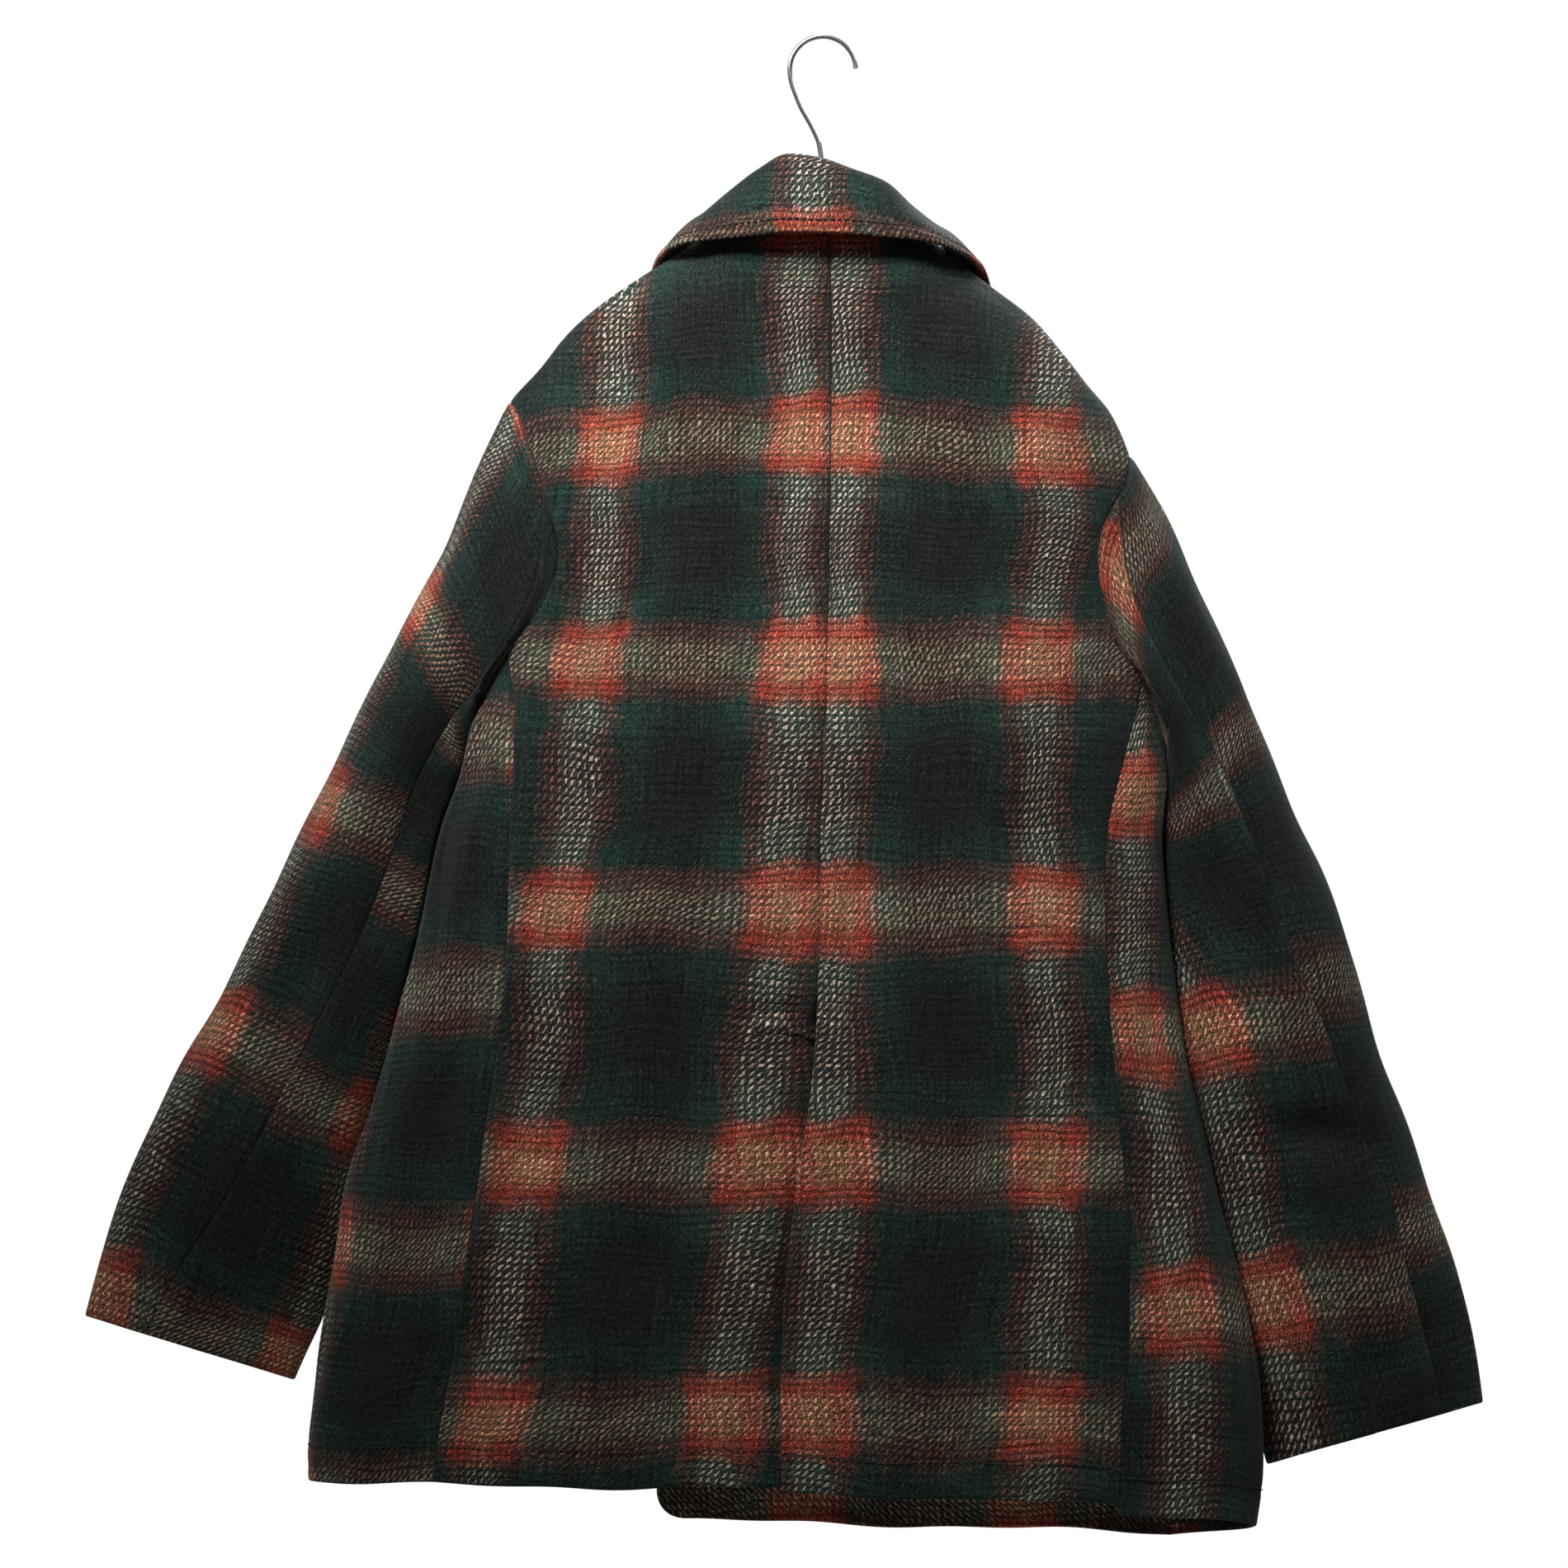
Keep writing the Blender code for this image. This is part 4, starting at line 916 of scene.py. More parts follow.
def new_material(name):
    """A material with its Principled shader, and a maker for its nodes."""
    material = bpy.data.materials.new(name)
    material.use_nodes = True
    return material, material.node_tree.nodes["Principled BSDF"], Maker(material.node_tree)


def wool_material(context):
    """Brushed wool twill in a shadow check, on the cloth's own map in metres."""
    name = "brushed_wool_check"
    if name in bpy.data.materials:
        return bpy.data.materials[name]
    sizes = context.scene.coat_sizes
    tones = context.scene.coat_colours
    material, shader, make = new_material(name)
    cloth = make.node("ShaderNodeUVMap", uv_map="cloth").outputs["UV"]

    def drifted(at, scale, detail, distance):
        noise = make.vector("SUBTRACT", make.noise(cloth, scale, detail, output="Color"), (0.5, 0.5, 0.5))
        return make.vector("ADD", at, make.vector("SCALE", noise, distance))

    def stripes(count):
        return make.node("ShaderNodeGroup", {"Count": count}, node_tree=stripes_group())

    eased = drifted(cloth, 12.0, 1.5, 0.02)
    woven_at = drifted(eased, 330.0, 3.0, 0.003)
    woven = make.node("ShaderNodeSeparateXYZ", {"Vector": woven_at})
    brushed = make.node("ShaderNodeSeparateXYZ",
                        {"Vector": drifted(drifted(eased, 90.0, 3.0, 0.012), 1100.0, 2.0, 0.004)})
    weave = make.node("ShaderNodeGroup", {
        "Across": make.math("DIVIDE", woven.outputs["X"], sizes.tick_wide),
        "Up": make.math("DIVIDE", woven.outputs["Y"], sizes.tick_high)}, node_tree=weave_group())
    warp_at = make.math("DIVIDE", brushed.outputs["X"], REPEAT_WIDE * MM)
    weft_at = make.math("DIVIDE", brushed.outputs["Y"], REPEAT_HIGH * MM)
    bands = [stripes(at).outputs["Band"] for at in (warp_at, weft_at)]
    share = make.ranged(weave.outputs["Warp"], 0.0, 1.0, WARP_SHARE - sizes.nap, WARP_SHARE + sizes.nap)
    yarns = []
    for at, middle, tint, rim, other, part in (
        (warp_at, tones.cream, tones.fire, tones.rust, bands[1], share),
        (weft_at, tones.tan, tones.gold, tones.ember, bands[0], make.math("SUBTRACT", 1.0, share)),
    ):
        yarn = stripes(at)
        crossing = make.mix(other, WHITE, rgba(tint))
        make.feed(yarn.inputs["Middle"], make.mix(1.0, rgba(middle), crossing, "MULTIPLY"))
        make.feed(yarn.inputs["Edge"], make.mix(other, rgba(tones.brown), rgba(rim)))
        make.feed(yarn.inputs["Near"], rgba(tones.green))
        make.feed(yarn.inputs["Far"], rgba(tones.charcoal))
        part_of_it = make.node("ShaderNodeGamma", {"Color": yarn.outputs["Color"], "Gamma": part})
        yarns.append(part_of_it.outputs["Color"])
    tone = make.mix(1.0, *yarns, "MULTIPLY")

    # Painted shade and highlight: the base colour is darkened in the low gaps between twill ticks and
    # lightened on their raised tops, more strongly in the bands; random fuzz and yarn streak tones are
    # multiplied in after.
    height = weave.outputs["Height"]
    shade = make.ranged(height, 0.05, 0.62, 0.26, 1.6)
    depth = make.math("ADD", make.math("MULTIPLY", make.math("MAXIMUM", *bands), 0.62), 0.38)
    shade = make.math("ADD", make.math("MULTIPLY", make.math("SUBTRACT", shade, 1.0), depth), 1.0)
    fuzz = make.noise(cloth, 420.0, 4.0, 0.7)
    layers = [
        (make.noise(cloth, 850.0, 3.0, 0.75), 0.3, 0.7, 0.45, 1.6),
        (fuzz, 0.3, 0.7, 0.4, 1.6),
    ]
    for stretch in ((900.0, 22.0, 1.0), (22.0, 900.0, 1.0)):
        run = make.node("ShaderNodeMapping", {"Vector": woven_at, "Scale": stretch}).outputs["Vector"]
        layers.append((make.noise(run, 1.0, 2.0), 0.25, 0.75, 0.58, 1.42))
    layers.append((make.noise(cloth, 26.0, 3.0), 0.3, 0.7, 0.88, 1.12))
    for layer in layers:
        shade = make.math("MULTIPLY", shade, make.ranged(*layer))
    grey = make.node("ShaderNodeCombineColor", {"Red": shade, "Green": shade, "Blue": shade})
    lump = make.math("ADD", make.math("MULTIPLY", height, 0.5), make.math("MULTIPLY", fuzz, 0.9))
    bump = make.node("ShaderNodeBump", {"Height": lump, "Strength": 0.6, "Distance": MM})
    for key, value in (
        ("Base Color", make.mix(1.0, tone, grey.outputs["Color"], "MULTIPLY")),
        ("Normal", bump.outputs["Normal"]), ("Roughness", 0.92), ("Specular IOR Level", 0.05),
        ("Sheen Weight", 0.13), ("Sheen Roughness", 0.55), ("Sheen Tint", (0.68, 0.82, 0.78, 1.0)),
    ):
        make.feed(shader.inputs[key], value)
    return material


def plain_material(name, tone):
    """A finish with its own grain, read on Object coordinates."""
    if name in bpy.data.materials:
        return bpy.data.materials[name]
    roughness, metallic, grain, contrast, relief, coat = FINISHES[name]
    material, shader, make = new_material(name)
    where = make.node("ShaderNodeTexCoord").outputs["Object"]
    where = make.node("ShaderNodeMapping", {"Vector": where, "Scale": grain}).outputs["Vector"]
    noise = make.noise(where, 1.0, 5.0, 0.6, dimensions="3D")
    dark = rgba([c * (1 - contrast) for c in tone])
    light = rgba([min(1.0, c * (1 + contrast)) for c in tone])
    bump = make.node("ShaderNodeBump", {"Height": noise, "Strength": 0.4, "Distance": relief})
    for key, value in (
        ("Base Color", make.mix(noise, dark, light)), ("Normal", bump.outputs["Normal"]),
        ("Roughness", make.ranged(noise, 0.0, 1.0, roughness * 0.8, roughness * 1.2)),
        ("Metallic", metallic), ("Coat Weight", coat),
    ):
        make.feed(shader.inputs[key], value)
    return material


def link_alone(context, piece):
    """Adds a piece to the scene as the only one selected."""
    context.collection.objects.link(piece)
    bpy.ops.object.select_all(action="DESELECT")
    piece.select_set(True)
    context.view_layer.objects.active = piece


def cloth_sheet(context, name, outer, out, across, count, free):
    """One cut piece: a grid laid on its outer face, mapped in metres and given its thickness."""
    sizes = context.scene.coat_sizes
    wall = sizes.wall * 1000
    every, sewn = edge_distance(outer, free)
    flat_map = np.stack([across * REPEAT_WIDE, count * REPEAT_HIGH], axis=-1) * MM
    dip = sizes.seam_dip * 1000 * np.exp(-((sewn / SEAM_REACH) ** 2))
    middle = outer - out * (wall / 2 + dip)[..., None]
    ease = np.clip(every / RIM_REACH, 0, 1)
    share = RIM_WALL + (1 - RIM_WALL) * np.sqrt(1 - (1 - ease) ** 2)
    rows, columns = middle.shape[:2]
    i, j = rows // 2, columns // 2
    turned = np.cross(middle[i, j + 1] - middle[i, j], middle[i + 1, j] - middle[i, j])
    if np.dot(turned, out[i, j]) < 0:
        middle, flat_map, share = middle[:, ::-1], flat_map[:, ::-1], share[:, ::-1]
    bpy.ops.object.select_all(action="DESELECT")
    bpy.ops.mesh.primitive_grid_add(x_subdivisions=columns - 1, y_subdivisions=rows - 1, size=1.0)
    piece = context.active_object
    piece.name = name
    piece.data.name = name
    mesh = piece.data
    mesh.vertices.foreach_set("co", (middle * MM).reshape(-1))
    corner = np.empty(len(mesh.loops), int)
    mesh.loops.foreach_get("vertex_index", corner)
    for layer in list(mesh.uv_layers):
        mesh.uv_layers.remove(layer)
    layer = mesh.uv_layers.new(name="cloth")
    layer.data.foreach_set("uv", flat_map.reshape(-1, 2)[corner].reshape(-1))
    group = piece.vertex_groups.new(name="wall")
    for index, weight in enumerate(share.reshape(-1)):
        group.add([index], float(weight), "REPLACE")
    solid = piece.modifiers.new("thickness", "SOLIDIFY")
    solid.thickness = sizes.wall
    solid.offset = 0.0
    solid.vertex_group = group.name
    bpy.ops.object.modifier_apply(modifier=solid.name)
    piece.vertex_groups.clear()
    bpy.ops.object.shade_smooth()
    mesh.materials.clear()
    mesh.materials.append(wool_material(context))
    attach(piece, "root")
    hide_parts(name)


def groove(distance, width):
    return STITCH_SINK * np.exp(-((distance / width) ** 2))


def inset_line(points, out, border, inset, spacing):
    """Places along a line sewn at an inset from one border, with the cloth's normal at each."""
    reach = border_distances(points)[border]
    if border in ("left", "right"):
        points, out, reach = (np.swapaxes(grid, 0, 1) for grid in (points, out, reach))
    if border in ("bottom", "right"):
        points, out, reach = points[::-1], out[::-1], reach[::-1]
    line = np.array([[np.interp(inset, reach[:, k], grid[:, k, axis]) for grid in (points, out)
                      for axis in range(3)] for k in range(points.shape[1])])
    run = cloth_run(line[:, :3])
    at = np.arange(spacing, run[-1] - spacing / 2, spacing)
    even = np.stack([np.interp(at, run, line[:, k]) for k in range(6)], axis=-1)
    return even[:, :3], even[:, 3:]


def stitches(context, name, line, normal):
    """A row of thread stitches lying in the cloth, one slim bead each."""
    sizes = context.scene.coat_sizes
    length = sizes.stitch * 1000
    along = np.gradient(line, axis=0)
    along = along / np.linalg.norm(along, axis=1, keepdims=True)
    normal = normal / np.linalg.norm(normal, axis=1, keepdims=True)
    beside = np.cross(normal, along)
    half = length * STITCH_SHARE
    ring = [(-half, 0.0, -0.2), (-half * 0.7, 1.0, 0.5), (half * 0.7, 1.0, 0.5), (half, 0.0, -0.2)]
    corners = []
    for forward, share, high in ring:
        for turn in range(4 if share else 1):
            angle = math.pi / 4 + turn * math.pi / 2
            aside = THREAD * share * math.cos(angle)
            up = high + THREAD * share * math.sin(angle)
            corners.append(line + along * forward + beside * aside + normal * up)
    points = np.stack(corners, axis=1).reshape(-1, 3)
    faces = []
    for k in range(len(line)):
        first = 10 * k
        last = first + 9
        for turn in range(4):
            a, b = first + 1 + turn, first + 1 + (turn + 1) % 4
            faces.extend([(first, b, a), (a, b, b + 4, a + 4), (last, a + 4, b + 4)])
    mesh = bpy.data.meshes.new(name)
    mesh.from_pydata((points * MM).tolist(), [], faces)
    mesh.validate()
    piece = bpy.data.objects.new(name, mesh)
    link_alone(context, piece)
    bpy.ops.object.mode_set(mode="EDIT")
    bpy.ops.mesh.select_all(action="SELECT")
    bpy.ops.mesh.normals_make_consistent(inside=False)
    bpy.ops.object.mode_set(mode="OBJECT")
    bpy.ops.object.shade_smooth()
    mesh.materials.append(plain_material("sewing_thread", context.scene.coat_colours.thread))
    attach(piece, "root")


def body_piece(context, name, grid, lift, across, count, free, face):
    angle, z = grid[..., 0], grid[..., 1]
    out = body_normals(angle, z)
    relief = body_relief(grid, face) if face else drape(300 * angle, z) * SIDE_DRAPE
    flat = body(angle, z)
    reach = border_distances(flat)
    every = np.minimum.reduce(list(reach.values()))
    relief = relief * fade(every, *EDGE_CALM) - groove(reach["bottom"] - HEM_INSET, HEM_GROOVE)
    if name == "front_right":
        relief = relief - groove(reach["left"] - EDGE_INSET, LAP_GROOVE)
    outer = flat + out * (lift + relief)[..., None]
    outer[..., 2] = outer[..., 2] + edge_wave(outer[..., 0], reach["bottom"])
    spacing = context.scene.coat_sizes.stitch * 1000
    stitches(context, "hem_stitches_" + name, *inset_line(outer, out, "bottom", HEM_INSET, spacing))
    if name == "front_right":
        stitches(context, "lap_stitches", *inset_line(outer, out, "left", EDGE_INSET, spacing))
    cloth_sheet(context, name, outer, out, across, count, free)


def back_grid(side):
    """Half of the back. Below the vent top the left half runs on under the right one."""
    name = "back_" + side
    turns = ring_turns(side, 0, ARMHOLE[side]["side_seam"])
    high = CENTRE_TOP + (CENTRE_CORNER - CENTRE_TOP) * np.linspace(0, 1, len(turns)) ** 1.25
    low = np.linspace(CENTRE_CORNER, HEM[name][0], LEVELS + 1)[1:]
    heights = np.concatenate([high, low])
    centre_x = read(CENTRE_SEAM, "x", heights)
    outer = np.concatenate([armhole_line(side, turns), side_back_line(side, sewn_heights(side))[1:]])
    neck = back_neck(side)
    top = np.concatenate([lines(neck[:, 0], neck[:, 1], back_angle), shoulder_line(side, back_angle)])
    centre = lines(centre_x, heights, back_angle)
    bottom = straight_hem(centre[-1], outer[-1])
    grid = patch(top, bottom, centre, outer, *BACK_GRID)
    if side == "left":
        z = grid[..., 1]
        under = UNDERLAP * fade(z, VENT_TOP, VENT_TOP - 5)
        near = 1 - rim_spread(grid.shape[1], PANEL_WIDE)[None, :]
        grid[..., 0] = grid[..., 0] - under / BACK_WIDTH * near**2
    return grid


def vent_stitches(context):
    """The short slanting row that closes the top of the vent, on the half that lies under."""
    row = np.array(VENT_STITCHES, float)
    run = cloth_run(row)
    at = np.arange(1.0, run[-1], context.scene.coat_sizes.stitch * 800)
    xs, zs = (np.interp(at, run, row[:, k]) for k in range(2))
    angle = back_angle(xs, zs)
    out = body_normals(angle, zs)
    relief = body_relief(np.stack([angle, zs], axis=-1), "back")
    relief = relief * fade(xs - read(CENTRE_SEAM, "x", zs), *EDGE_CALM)
    stitches(context, "vent_stitches", body(angle, zs) + out * (relief + VENT_THREAD_RISE)[:, None], out)


def make_back(context, side):
    grid = back_grid(side)
    x, z = grid_x(grid), grid[..., 1]
    edge = read(CENTRE_SEAM, "x", z)
    ramp = fade(z, VENT_TOP + VENT_FADE, VENT_TOP)
    if side == "right":
        lift = LAP_LIFT * ramp * fade(x - edge, -UNDERLAP - LAP_FADE, -UNDERLAP - VENT_LIFT_START)
    else:
        lift = -LAP_LIFT * ramp * (1 - fade(x - edge - VENT_SINK_START, 0, LAP_FADE))
        shadow = np.exp(-(((x - edge - VENT_SHADOW_AT) / VENT_SHADOW_WIDE) ** 2))
        lift = lift - VENT_SHADOW * shadow * ramp
    middle = read(BACK_BANDS, "middle_x", z, side)
    outer = read(BACK_BANDS, "outer_x", z, side)
    across = (middle - x) / np.abs(outer - middle)
    if side == "right":
        vent_stitches(context)
    bend = SHOULDER_BEND * (x / SHOULDER_BEND_X) ** 2 * fade(z, *SHOULDER_BEND_Z)
    count = read(LEVEL_BANDS, "count", z + bend, "back")
    body_piece(context, "back_" + side, grid, lift, across, count, ("bottom",), "back")


def make_side(context, side):
    name = "side_" + side
    seam = ARMHOLE[side]["side_seam"]
    turns = ring_turns(side, seam, 180)
    turns = np.concatenate([turns, 360 - turns[-2::-1]])
    heights = sewn_heights(side)
    back_heights = heights.copy()
    back_heights[-1] = HEM[name][0]
    front_heights = np.linspace(heights[0], HEM[name][1], len(heights))
    left = side_back_line(side, back_heights)
    right = side_front_line(side, front_heights)
    bottom = straight_hem(left[-1], right[-1])
    grid = patch(armhole_line(side, turns), bottom, left, right, *SIDE_GRID)
    points = body(grid[..., 0], grid[..., 1])
    run = cloth_run(points)
    x = grid_x(grid)
    if side == "left":
        start = np.full(len(run), LEFT_SIDE_BAND)
    else:
        band = read(RIGHT_SIDE_BAND, "x", grid[:, 0, 1])
        turns_at = np.argmin(x, axis=1) + 1
        start = np.array([np.interp(-band[k], -x[k, :last], run[k, :last])
                          for k, last in enumerate(turns_at)])
    across = (run - start[:, None]) / REPEAT_WIDE * -side_sign(side)
    count = read(LEVEL_BANDS, "count", grid[..., 1], name)
    low = grid[..., 1] - ARMHOLE[side]["bottom"]
    reach = border_distances(points)
    inward = fade(np.minimum(reach["left"], reach["right"]), 0, SIDE_SEAM_CALM)
    lift = ARMPIT_FULLNESS * np.exp(-(((low + ARMPIT_LOW) / ARMPIT_REACH) ** 2)) * inward
    body_piece(context, name, grid, lift, across, count, ("bottom",), None)


def rounded_corner(grid, x):
    """Rounds the lower corner of the overlapping front, and gives the new places and their x."""
    across = np.clip((x[-1:, :1] - x) / LAP_CORNER, 0, 1)
    up = np.clip((grid[..., 1] - grid[-1:, :1, 1]) / LAP_CORNER, 0, 1)
    a, b = 1 - across, 1 - up
    moved_x = x + (a - a * np.sqrt(1 - b * b / 2)) * -LAP_CORNER
    moved_z = grid[..., 1] + (b - b * np.sqrt(1 - a * a / 2)) * LAP_CORNER
    moved = np.stack([front_angle(moved_x, moved_z), moved_z], axis=-1)
    grid = np.where(((a > 0) & (b > 0))[..., None], moved, grid)
    return grid, grid_x(grid)


def make_front(context, side):
    """Half of the front. The wearer's right laps over the left."""
    name = "front_" + side
    seam = ARMHOLE[side]["side_seam"]
    turns = 360 - ring_turns(side, 0, seam)
    low = np.linspace(armhole(side, seam)[1], HEM["side_" + side][1], LEVELS + 1)
    outer = front_turned(np.concatenate([armhole_line(side, turns), side_front_line(side, low)[1:]]))
    edge_top = LAP_EDGE[side][0][0]
    share = np.linspace(0, 1, len(outer)) ** 1.2
    heights = edge_top + (HEM[name][0] - edge_top) * share
    lap = lines(read(LAP_EDGE, "x", heights, side), heights, front_angle)
    neck = neck_rows(NECK_FRONT, side)[::-1]
    neck = np.concatenate([LAP_TOP if side == "right" else UNDER_LAP_TOP, neck])
    top = np.concatenate([lines(neck[:, 0], neck[:, 1], front_angle), shoulder_line(side, front_angle)])
    grid = patch(top, straight_hem(lap[-1], outer[-1]), lap, outer, *FRONT_GRID)
    x = grid_x(grid)
    if side == "right":
        grid, x = rounded_corner(grid, x)
        lift = LAP_LIFT * fade(x, *RIGHT_LAP_LIFT)
    else:
        lift = -LAP_LIFT * (1 - fade(x, LEFT_LAP_START, LEFT_LAP_START + LAP_FADE))
    across = (x - FRONT_BAND_X) / REPEAT_WIDE
    count = read(LEVEL_BANDS, "count", grid[..., 1], "front")
    body_piece(context, name, grid, lift, across, count, ("bottom", "left"), "front")


def make_sleeve(context, side, part):
    name = "sleeve_" + side + "_" + part
    ends = SLEEVE[side][-1][0]
    reaches = rim_spread(SLEEVE_GRID[0], ends) * ends
    elbow = read(SLEEVE, "elbow", reaches, side)
    fore = read(SLEEVE, "fore", reaches, side)
    low = -fore if part == "upper" else elbow
    high = elbow if part == "upper" else 360 - fore
    share = rim_spread(SLEEVE_GRID[1], SLEEVE_GIRTH)
    turn = low[:, None] + (high - low)[:, None] * share[None]
    reach = np.repeat(reaches[:, None], len(share), axis=1)
    outer = folded_sleeve(side, turn, reach)
    out = normals(lambda a, b: folded_sleeve(side, a, b), turn, reach, 1.0, 1.0) * (-side_sign(side))
    from_edge = np.abs((turn + 180) % 360 - 180)
    rim = ((1 - fade(reach, 0, SLEEVE_RIM)) * fade(from_edge, *SLEEVE_RIM_TURNS))[..., None]
    out = out * (1 - rim) + body_normals(*armhole(side, turn % 360)) * rim
    out = out / np.linalg.norm(out, axis=-1, keepdims=True)
    key = side + "_" + part
    count = read(SLEEVE_BANDS, "count", reach, key)
    turn_of = read(SLEEVE_BANDS, "turn", reaches, key)
    run = cloth_run(outer)
    start = np.array([np.interp(turn_of[k], turn[k], run[k]) for k in range(len(run))])
    across = (run - start[:, None]) / REPEAT_WIDE * side_sign(side)
    cloth_sheet(context, name, outer, out, across, count, ("bottom",))


def make_collar(context):
    count = len(COLLAR_LEFT) + len(COLLAR_RIGHT) - 2
    stations = rim_spread(COLLAR_GRID[0], COLLAR_LONG) * count
    steps = rim_spread(COLLAR_GRID[1], COLLAR_DEEP)
    station, step = np.meshgrid(stations, steps, indexing="ij")
    middle = collar(station, step)
    out = normals(collar, station, step, 0.02, 0.01)
    middle[..., 2] = middle[..., 2] - COLLAR_DROOP * fade(step, 0.75, 1.0)
    if out[len(stations) // 2, -5, 1] < 0:
        out = -out
    lip, dip = (high * np.exp(-(((step - at) / spread) ** 2))
                for at, spread, high in (COLLAR_LIP, COLLAR_DIP))
    outer = middle + out * (COLLAR_HALF_WALL - (lip - dip))[..., None]
    spacing = context.scene.coat_sizes.stitch * 1000
    stitches(context, "collar_stitches", *inset_line(outer, out, "right", COLLAR_INSET, spacing))
    along = cloth_run(np.swapaxes(outer, 0, 1)).T
    mid = len(COLLAR_LEFT) - 1
    at = int(np.argmin(np.abs(stations - mid)))
    across = (along - along[at:at + 1] + COLLAR_BAND_X - middle[at, len(steps) // 2, 0]) / REPEAT_WIDE
    fall = cloth_run(outer)
    tilt = COLLAR_TILT * (station - mid) / mid
    level = (COLLAR_BAND_STEP * fall[:, -1:] - fall) / REPEAT_HIGH + tilt
    cloth_sheet(context, "collar", outer, out, across, level, ("top", "bottom", "right"))


def round_bar(context, name, path, radius, material):
    """A smooth round bar along a path, made from a bevelled curve."""
    curve = bpy.data.curves.new(name, "CURVE")
    curve.dimensions = "3D"
    curve.bevel_depth = radius
    curve.bevel_resolution = HOOK_ROUNDING
    curve.use_fill_caps = True
    spline = curve.splines.new("POLY")
    spline.points.add(len(path) - 1)
    for point, co in zip(spline.points, path):
        point.co = (co[0], co[1], co[2], 1.0)
    piece = bpy.data.objects.new(name, curve)
    link_alone(context, piece)
    bpy.ops.object.convert(target="MESH")
    piece = context.active_object
    bpy.ops.object.shade_smooth_by_angle(angle=math.radians(50))
    piece.data.materials.clear()
    piece.data.materials.append(material)
    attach(piece, "root")
    return piece


class COAT_OT_backs(Operator):
    """Both halves of the back, with the centre seam and the vent"""
    bl_idname = "coat.backs"
    bl_label = "Backs"

    def execute(self, context):
        for side in SIDES:
            make_back(context, side)
        return {"FINISHED"}


class COAT_OT_sides(Operator):
    """The two panels under the arms"""
    bl_idname = "coat.sides"
    bl_label = "Sides"

    def execute(self, context):
        for side in SIDES:
            make_side(context, side)
        return {"FINISHED"}


class COAT_OT_fronts(Operator):
    """Both fronts, the wearer's right over the left"""
    bl_idname = "coat.fronts"
    bl_label = "Fronts"

    def execute(self, context):
        for side in SIDES:
            make_front(context, side)
        return {"FINISHED"}


class COAT_OT_sleeves(Operator):
    """The two-piece sleeves"""
    bl_idname = "coat.sleeves"
    bl_label = "Sleeves"

    def execute(self, context):
        for side in SIDES:
            for part in ("upper", "under"):
                make_sleeve(context, side, part)
        return {"FINISHED"}


class COAT_OT_collar(Operator):
    """The fold-down collar with its stitched lip"""
    bl_idname = "coat.collar"
    bl_label = "Collar"

    def execute(self, context):
        make_collar(context)
        return {"FINISHED"}


class COAT_OT_hanger(Operator):
    """The wooden hanger's finish and its steel hook"""
    bl_idname = "coat.hanger"
    bl_label = "Hanger"

    def execute(self, context):
        tones = context.scene.coat_colours
        steel = plain_material("brushed_steel", tones.steel)
        hook = round_bar(context, "hook_wire", hook_path(HOOK_SECTIONS) * MM, WIRE * MM, steel)
        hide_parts("hanger_hook")
        node = bpy.data.objects["hanger_body"]
        node.material_slots[0].material = plain_material("hanger_beech", tones.wood)
        return {"FINISHED"}


class COAT_OT_buttons(Operator):
    """The horn buttons' finish"""
    bl_idname = "coat.buttons"
    bl_label = "Buttons"

    def execute(self, context):
        horn = plain_material("polished_horn", context.scene.coat_colours.horn)
        for index in range(BUTTONS):
            node = bpy.data.objects["button_" + str(index + 1)]
            node.material_slots[0].material = horn
        return {"FINISHED"}


def area_light(context, name, place_at, aim, size, power, spread):
    bpy.ops.object.light_add(type="AREA", location=place_at)
    lamp = context.active_object
    lamp.name = name
    lamp.data.name = name
    lamp.data.size = size
    lamp.data.energy = power
    lamp.data.spread = math.radians(spread)
    lamp.rotation_euler = (Vector(aim) - Vector(place_at)).to_track_quat("-Z", "Y").to_euler()


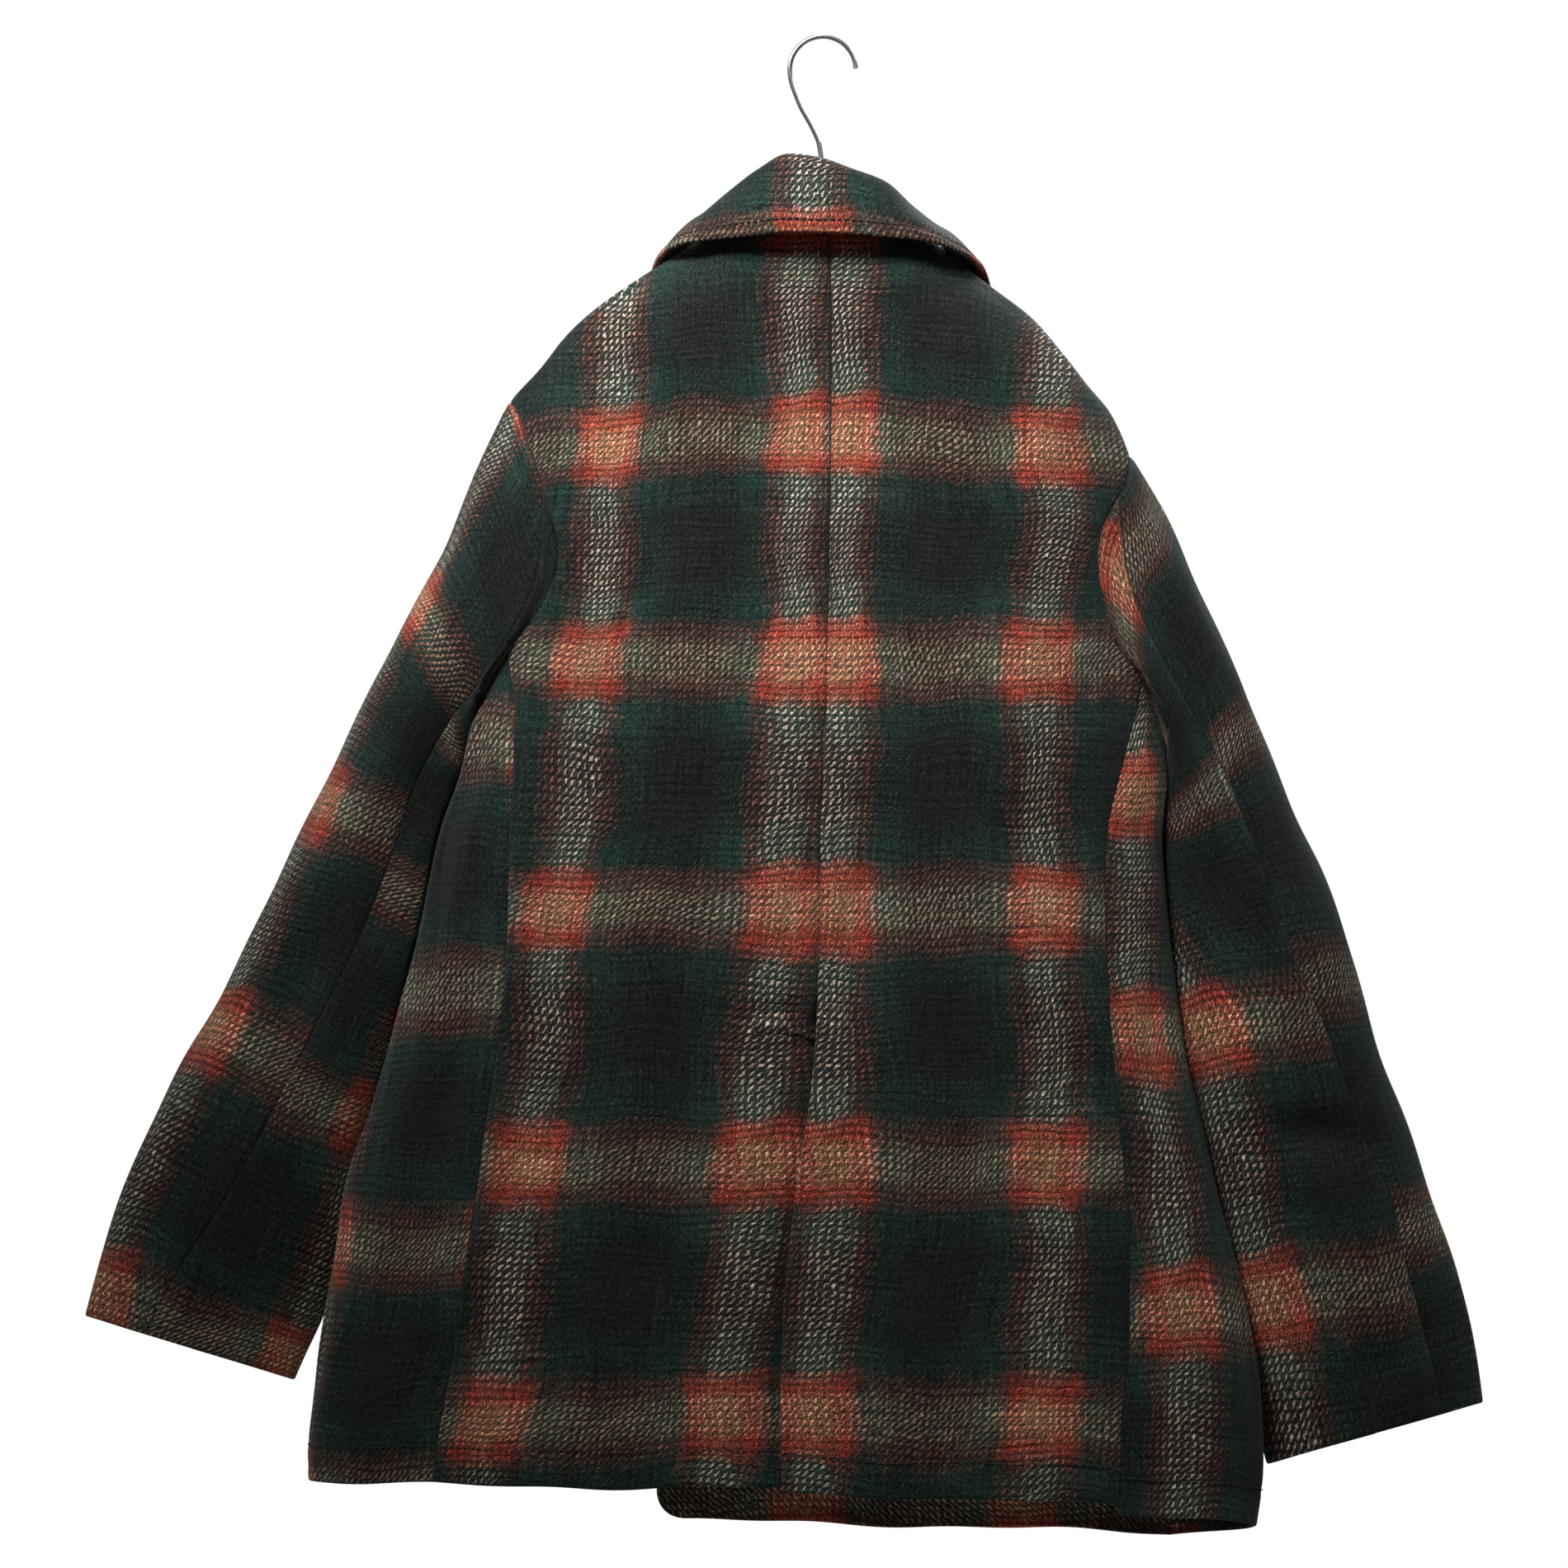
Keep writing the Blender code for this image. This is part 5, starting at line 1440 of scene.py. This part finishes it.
class COAT_OT_stage(Operator):
    """Floor, soft light and the camera"""
    bl_idname = "coat.stage"
    bl_label = "Stage"

    def execute(self, context):
        bpy.ops.object.select_all(action="DESELECT")
        bpy.ops.mesh.primitive_plane_add(size=FLOOR_SIZE, location=(0.0, 0.0, FLOOR_Z))
        floor = context.active_object
        floor.name = "floor"
        floor.data.materials.append(plain_material("pale_floor", context.scene.coat_colours.floor))
        for row in LIGHTS["rows"]:
            area_light(context, *row)
        world = bpy.data.worlds.new("studio")
        context.scene.world = world
        world.use_nodes = True
        make = Maker(world.node_tree)
        room = world.node_tree.nodes["Background"]
        room.inputs["Color"].default_value = WHITE
        room.inputs["Strength"].default_value = ROOM_LIGHT
        paper = make.node("ShaderNodeBackground", {"Color": WHITE, "Strength": 1.0})
        seen = make.node("ShaderNodeLightPath").outputs["Is Camera Ray"]
        both = make.node("ShaderNodeMixShader", {0: seen, 1: room.outputs[0], 2: paper.outputs[0]})
        make.feed(world.node_tree.nodes["World Output"].inputs["Surface"], both.outputs[0])
        context.scene.view_settings.view_transform = "Standard"
        bpy.ops.object.camera_add(location=CAMERA_AT, rotation=(math.pi / 2, 0.0, math.pi))
        camera = context.active_object
        camera.name = "photo_view"
        camera.data.sensor_width = SENSOR
        camera.data.lens = SENSOR * SIGHT / VIEW_WIDTH
        context.scene.camera = camera
        return {"FINISHED"}


class COAT_PT_parts(Panel):
    """Lists the coat's pieces and their sizes"""
    bl_label = "Checked wool coat"
    bl_idname = "COAT_PT_parts"
    bl_space_type = "VIEW_3D"
    bl_region_type = "UI"
    bl_category = "Coat"

    def draw(self, context):
        layout = self.layout
        for group in (context.scene.coat_sizes, context.scene.coat_colours):
            for name in group.bl_rna.properties.keys():
                if name not in ("rna_type", "name"):
                    layout.prop(group, name)
        for operator in OPERATORS:
            layout.operator(operator.bl_idname)


OPERATORS = (
    COAT_OT_backs, COAT_OT_sides, COAT_OT_fronts, COAT_OT_sleeves, COAT_OT_collar, COAT_OT_hanger,
    COAT_OT_buttons, COAT_OT_stage,
)
CLASSES = (CoatSizes, CoatColours) + OPERATORS + (COAT_PT_parts,)


def register():
    for item in CLASSES:
        bpy.utils.register_class(item)
    bpy.types.Scene.coat_sizes = PointerProperty(type=CoatSizes)
    bpy.types.Scene.coat_colours = PointerProperty(type=CoatColours)


def unregister():
    del bpy.types.Scene.coat_colours
    del bpy.types.Scene.coat_sizes
    for item in reversed(CLASSES):
        bpy.utils.unregister_class(item)


def corners(box):
    return [[float(value) for value in corner] for corner in box]


def main():
    register()
    for operator in OPERATORS:
        getattr(bpy.ops.coat, operator.bl_idname.split(".")[1])()


if __name__ == "__main__":
    main()
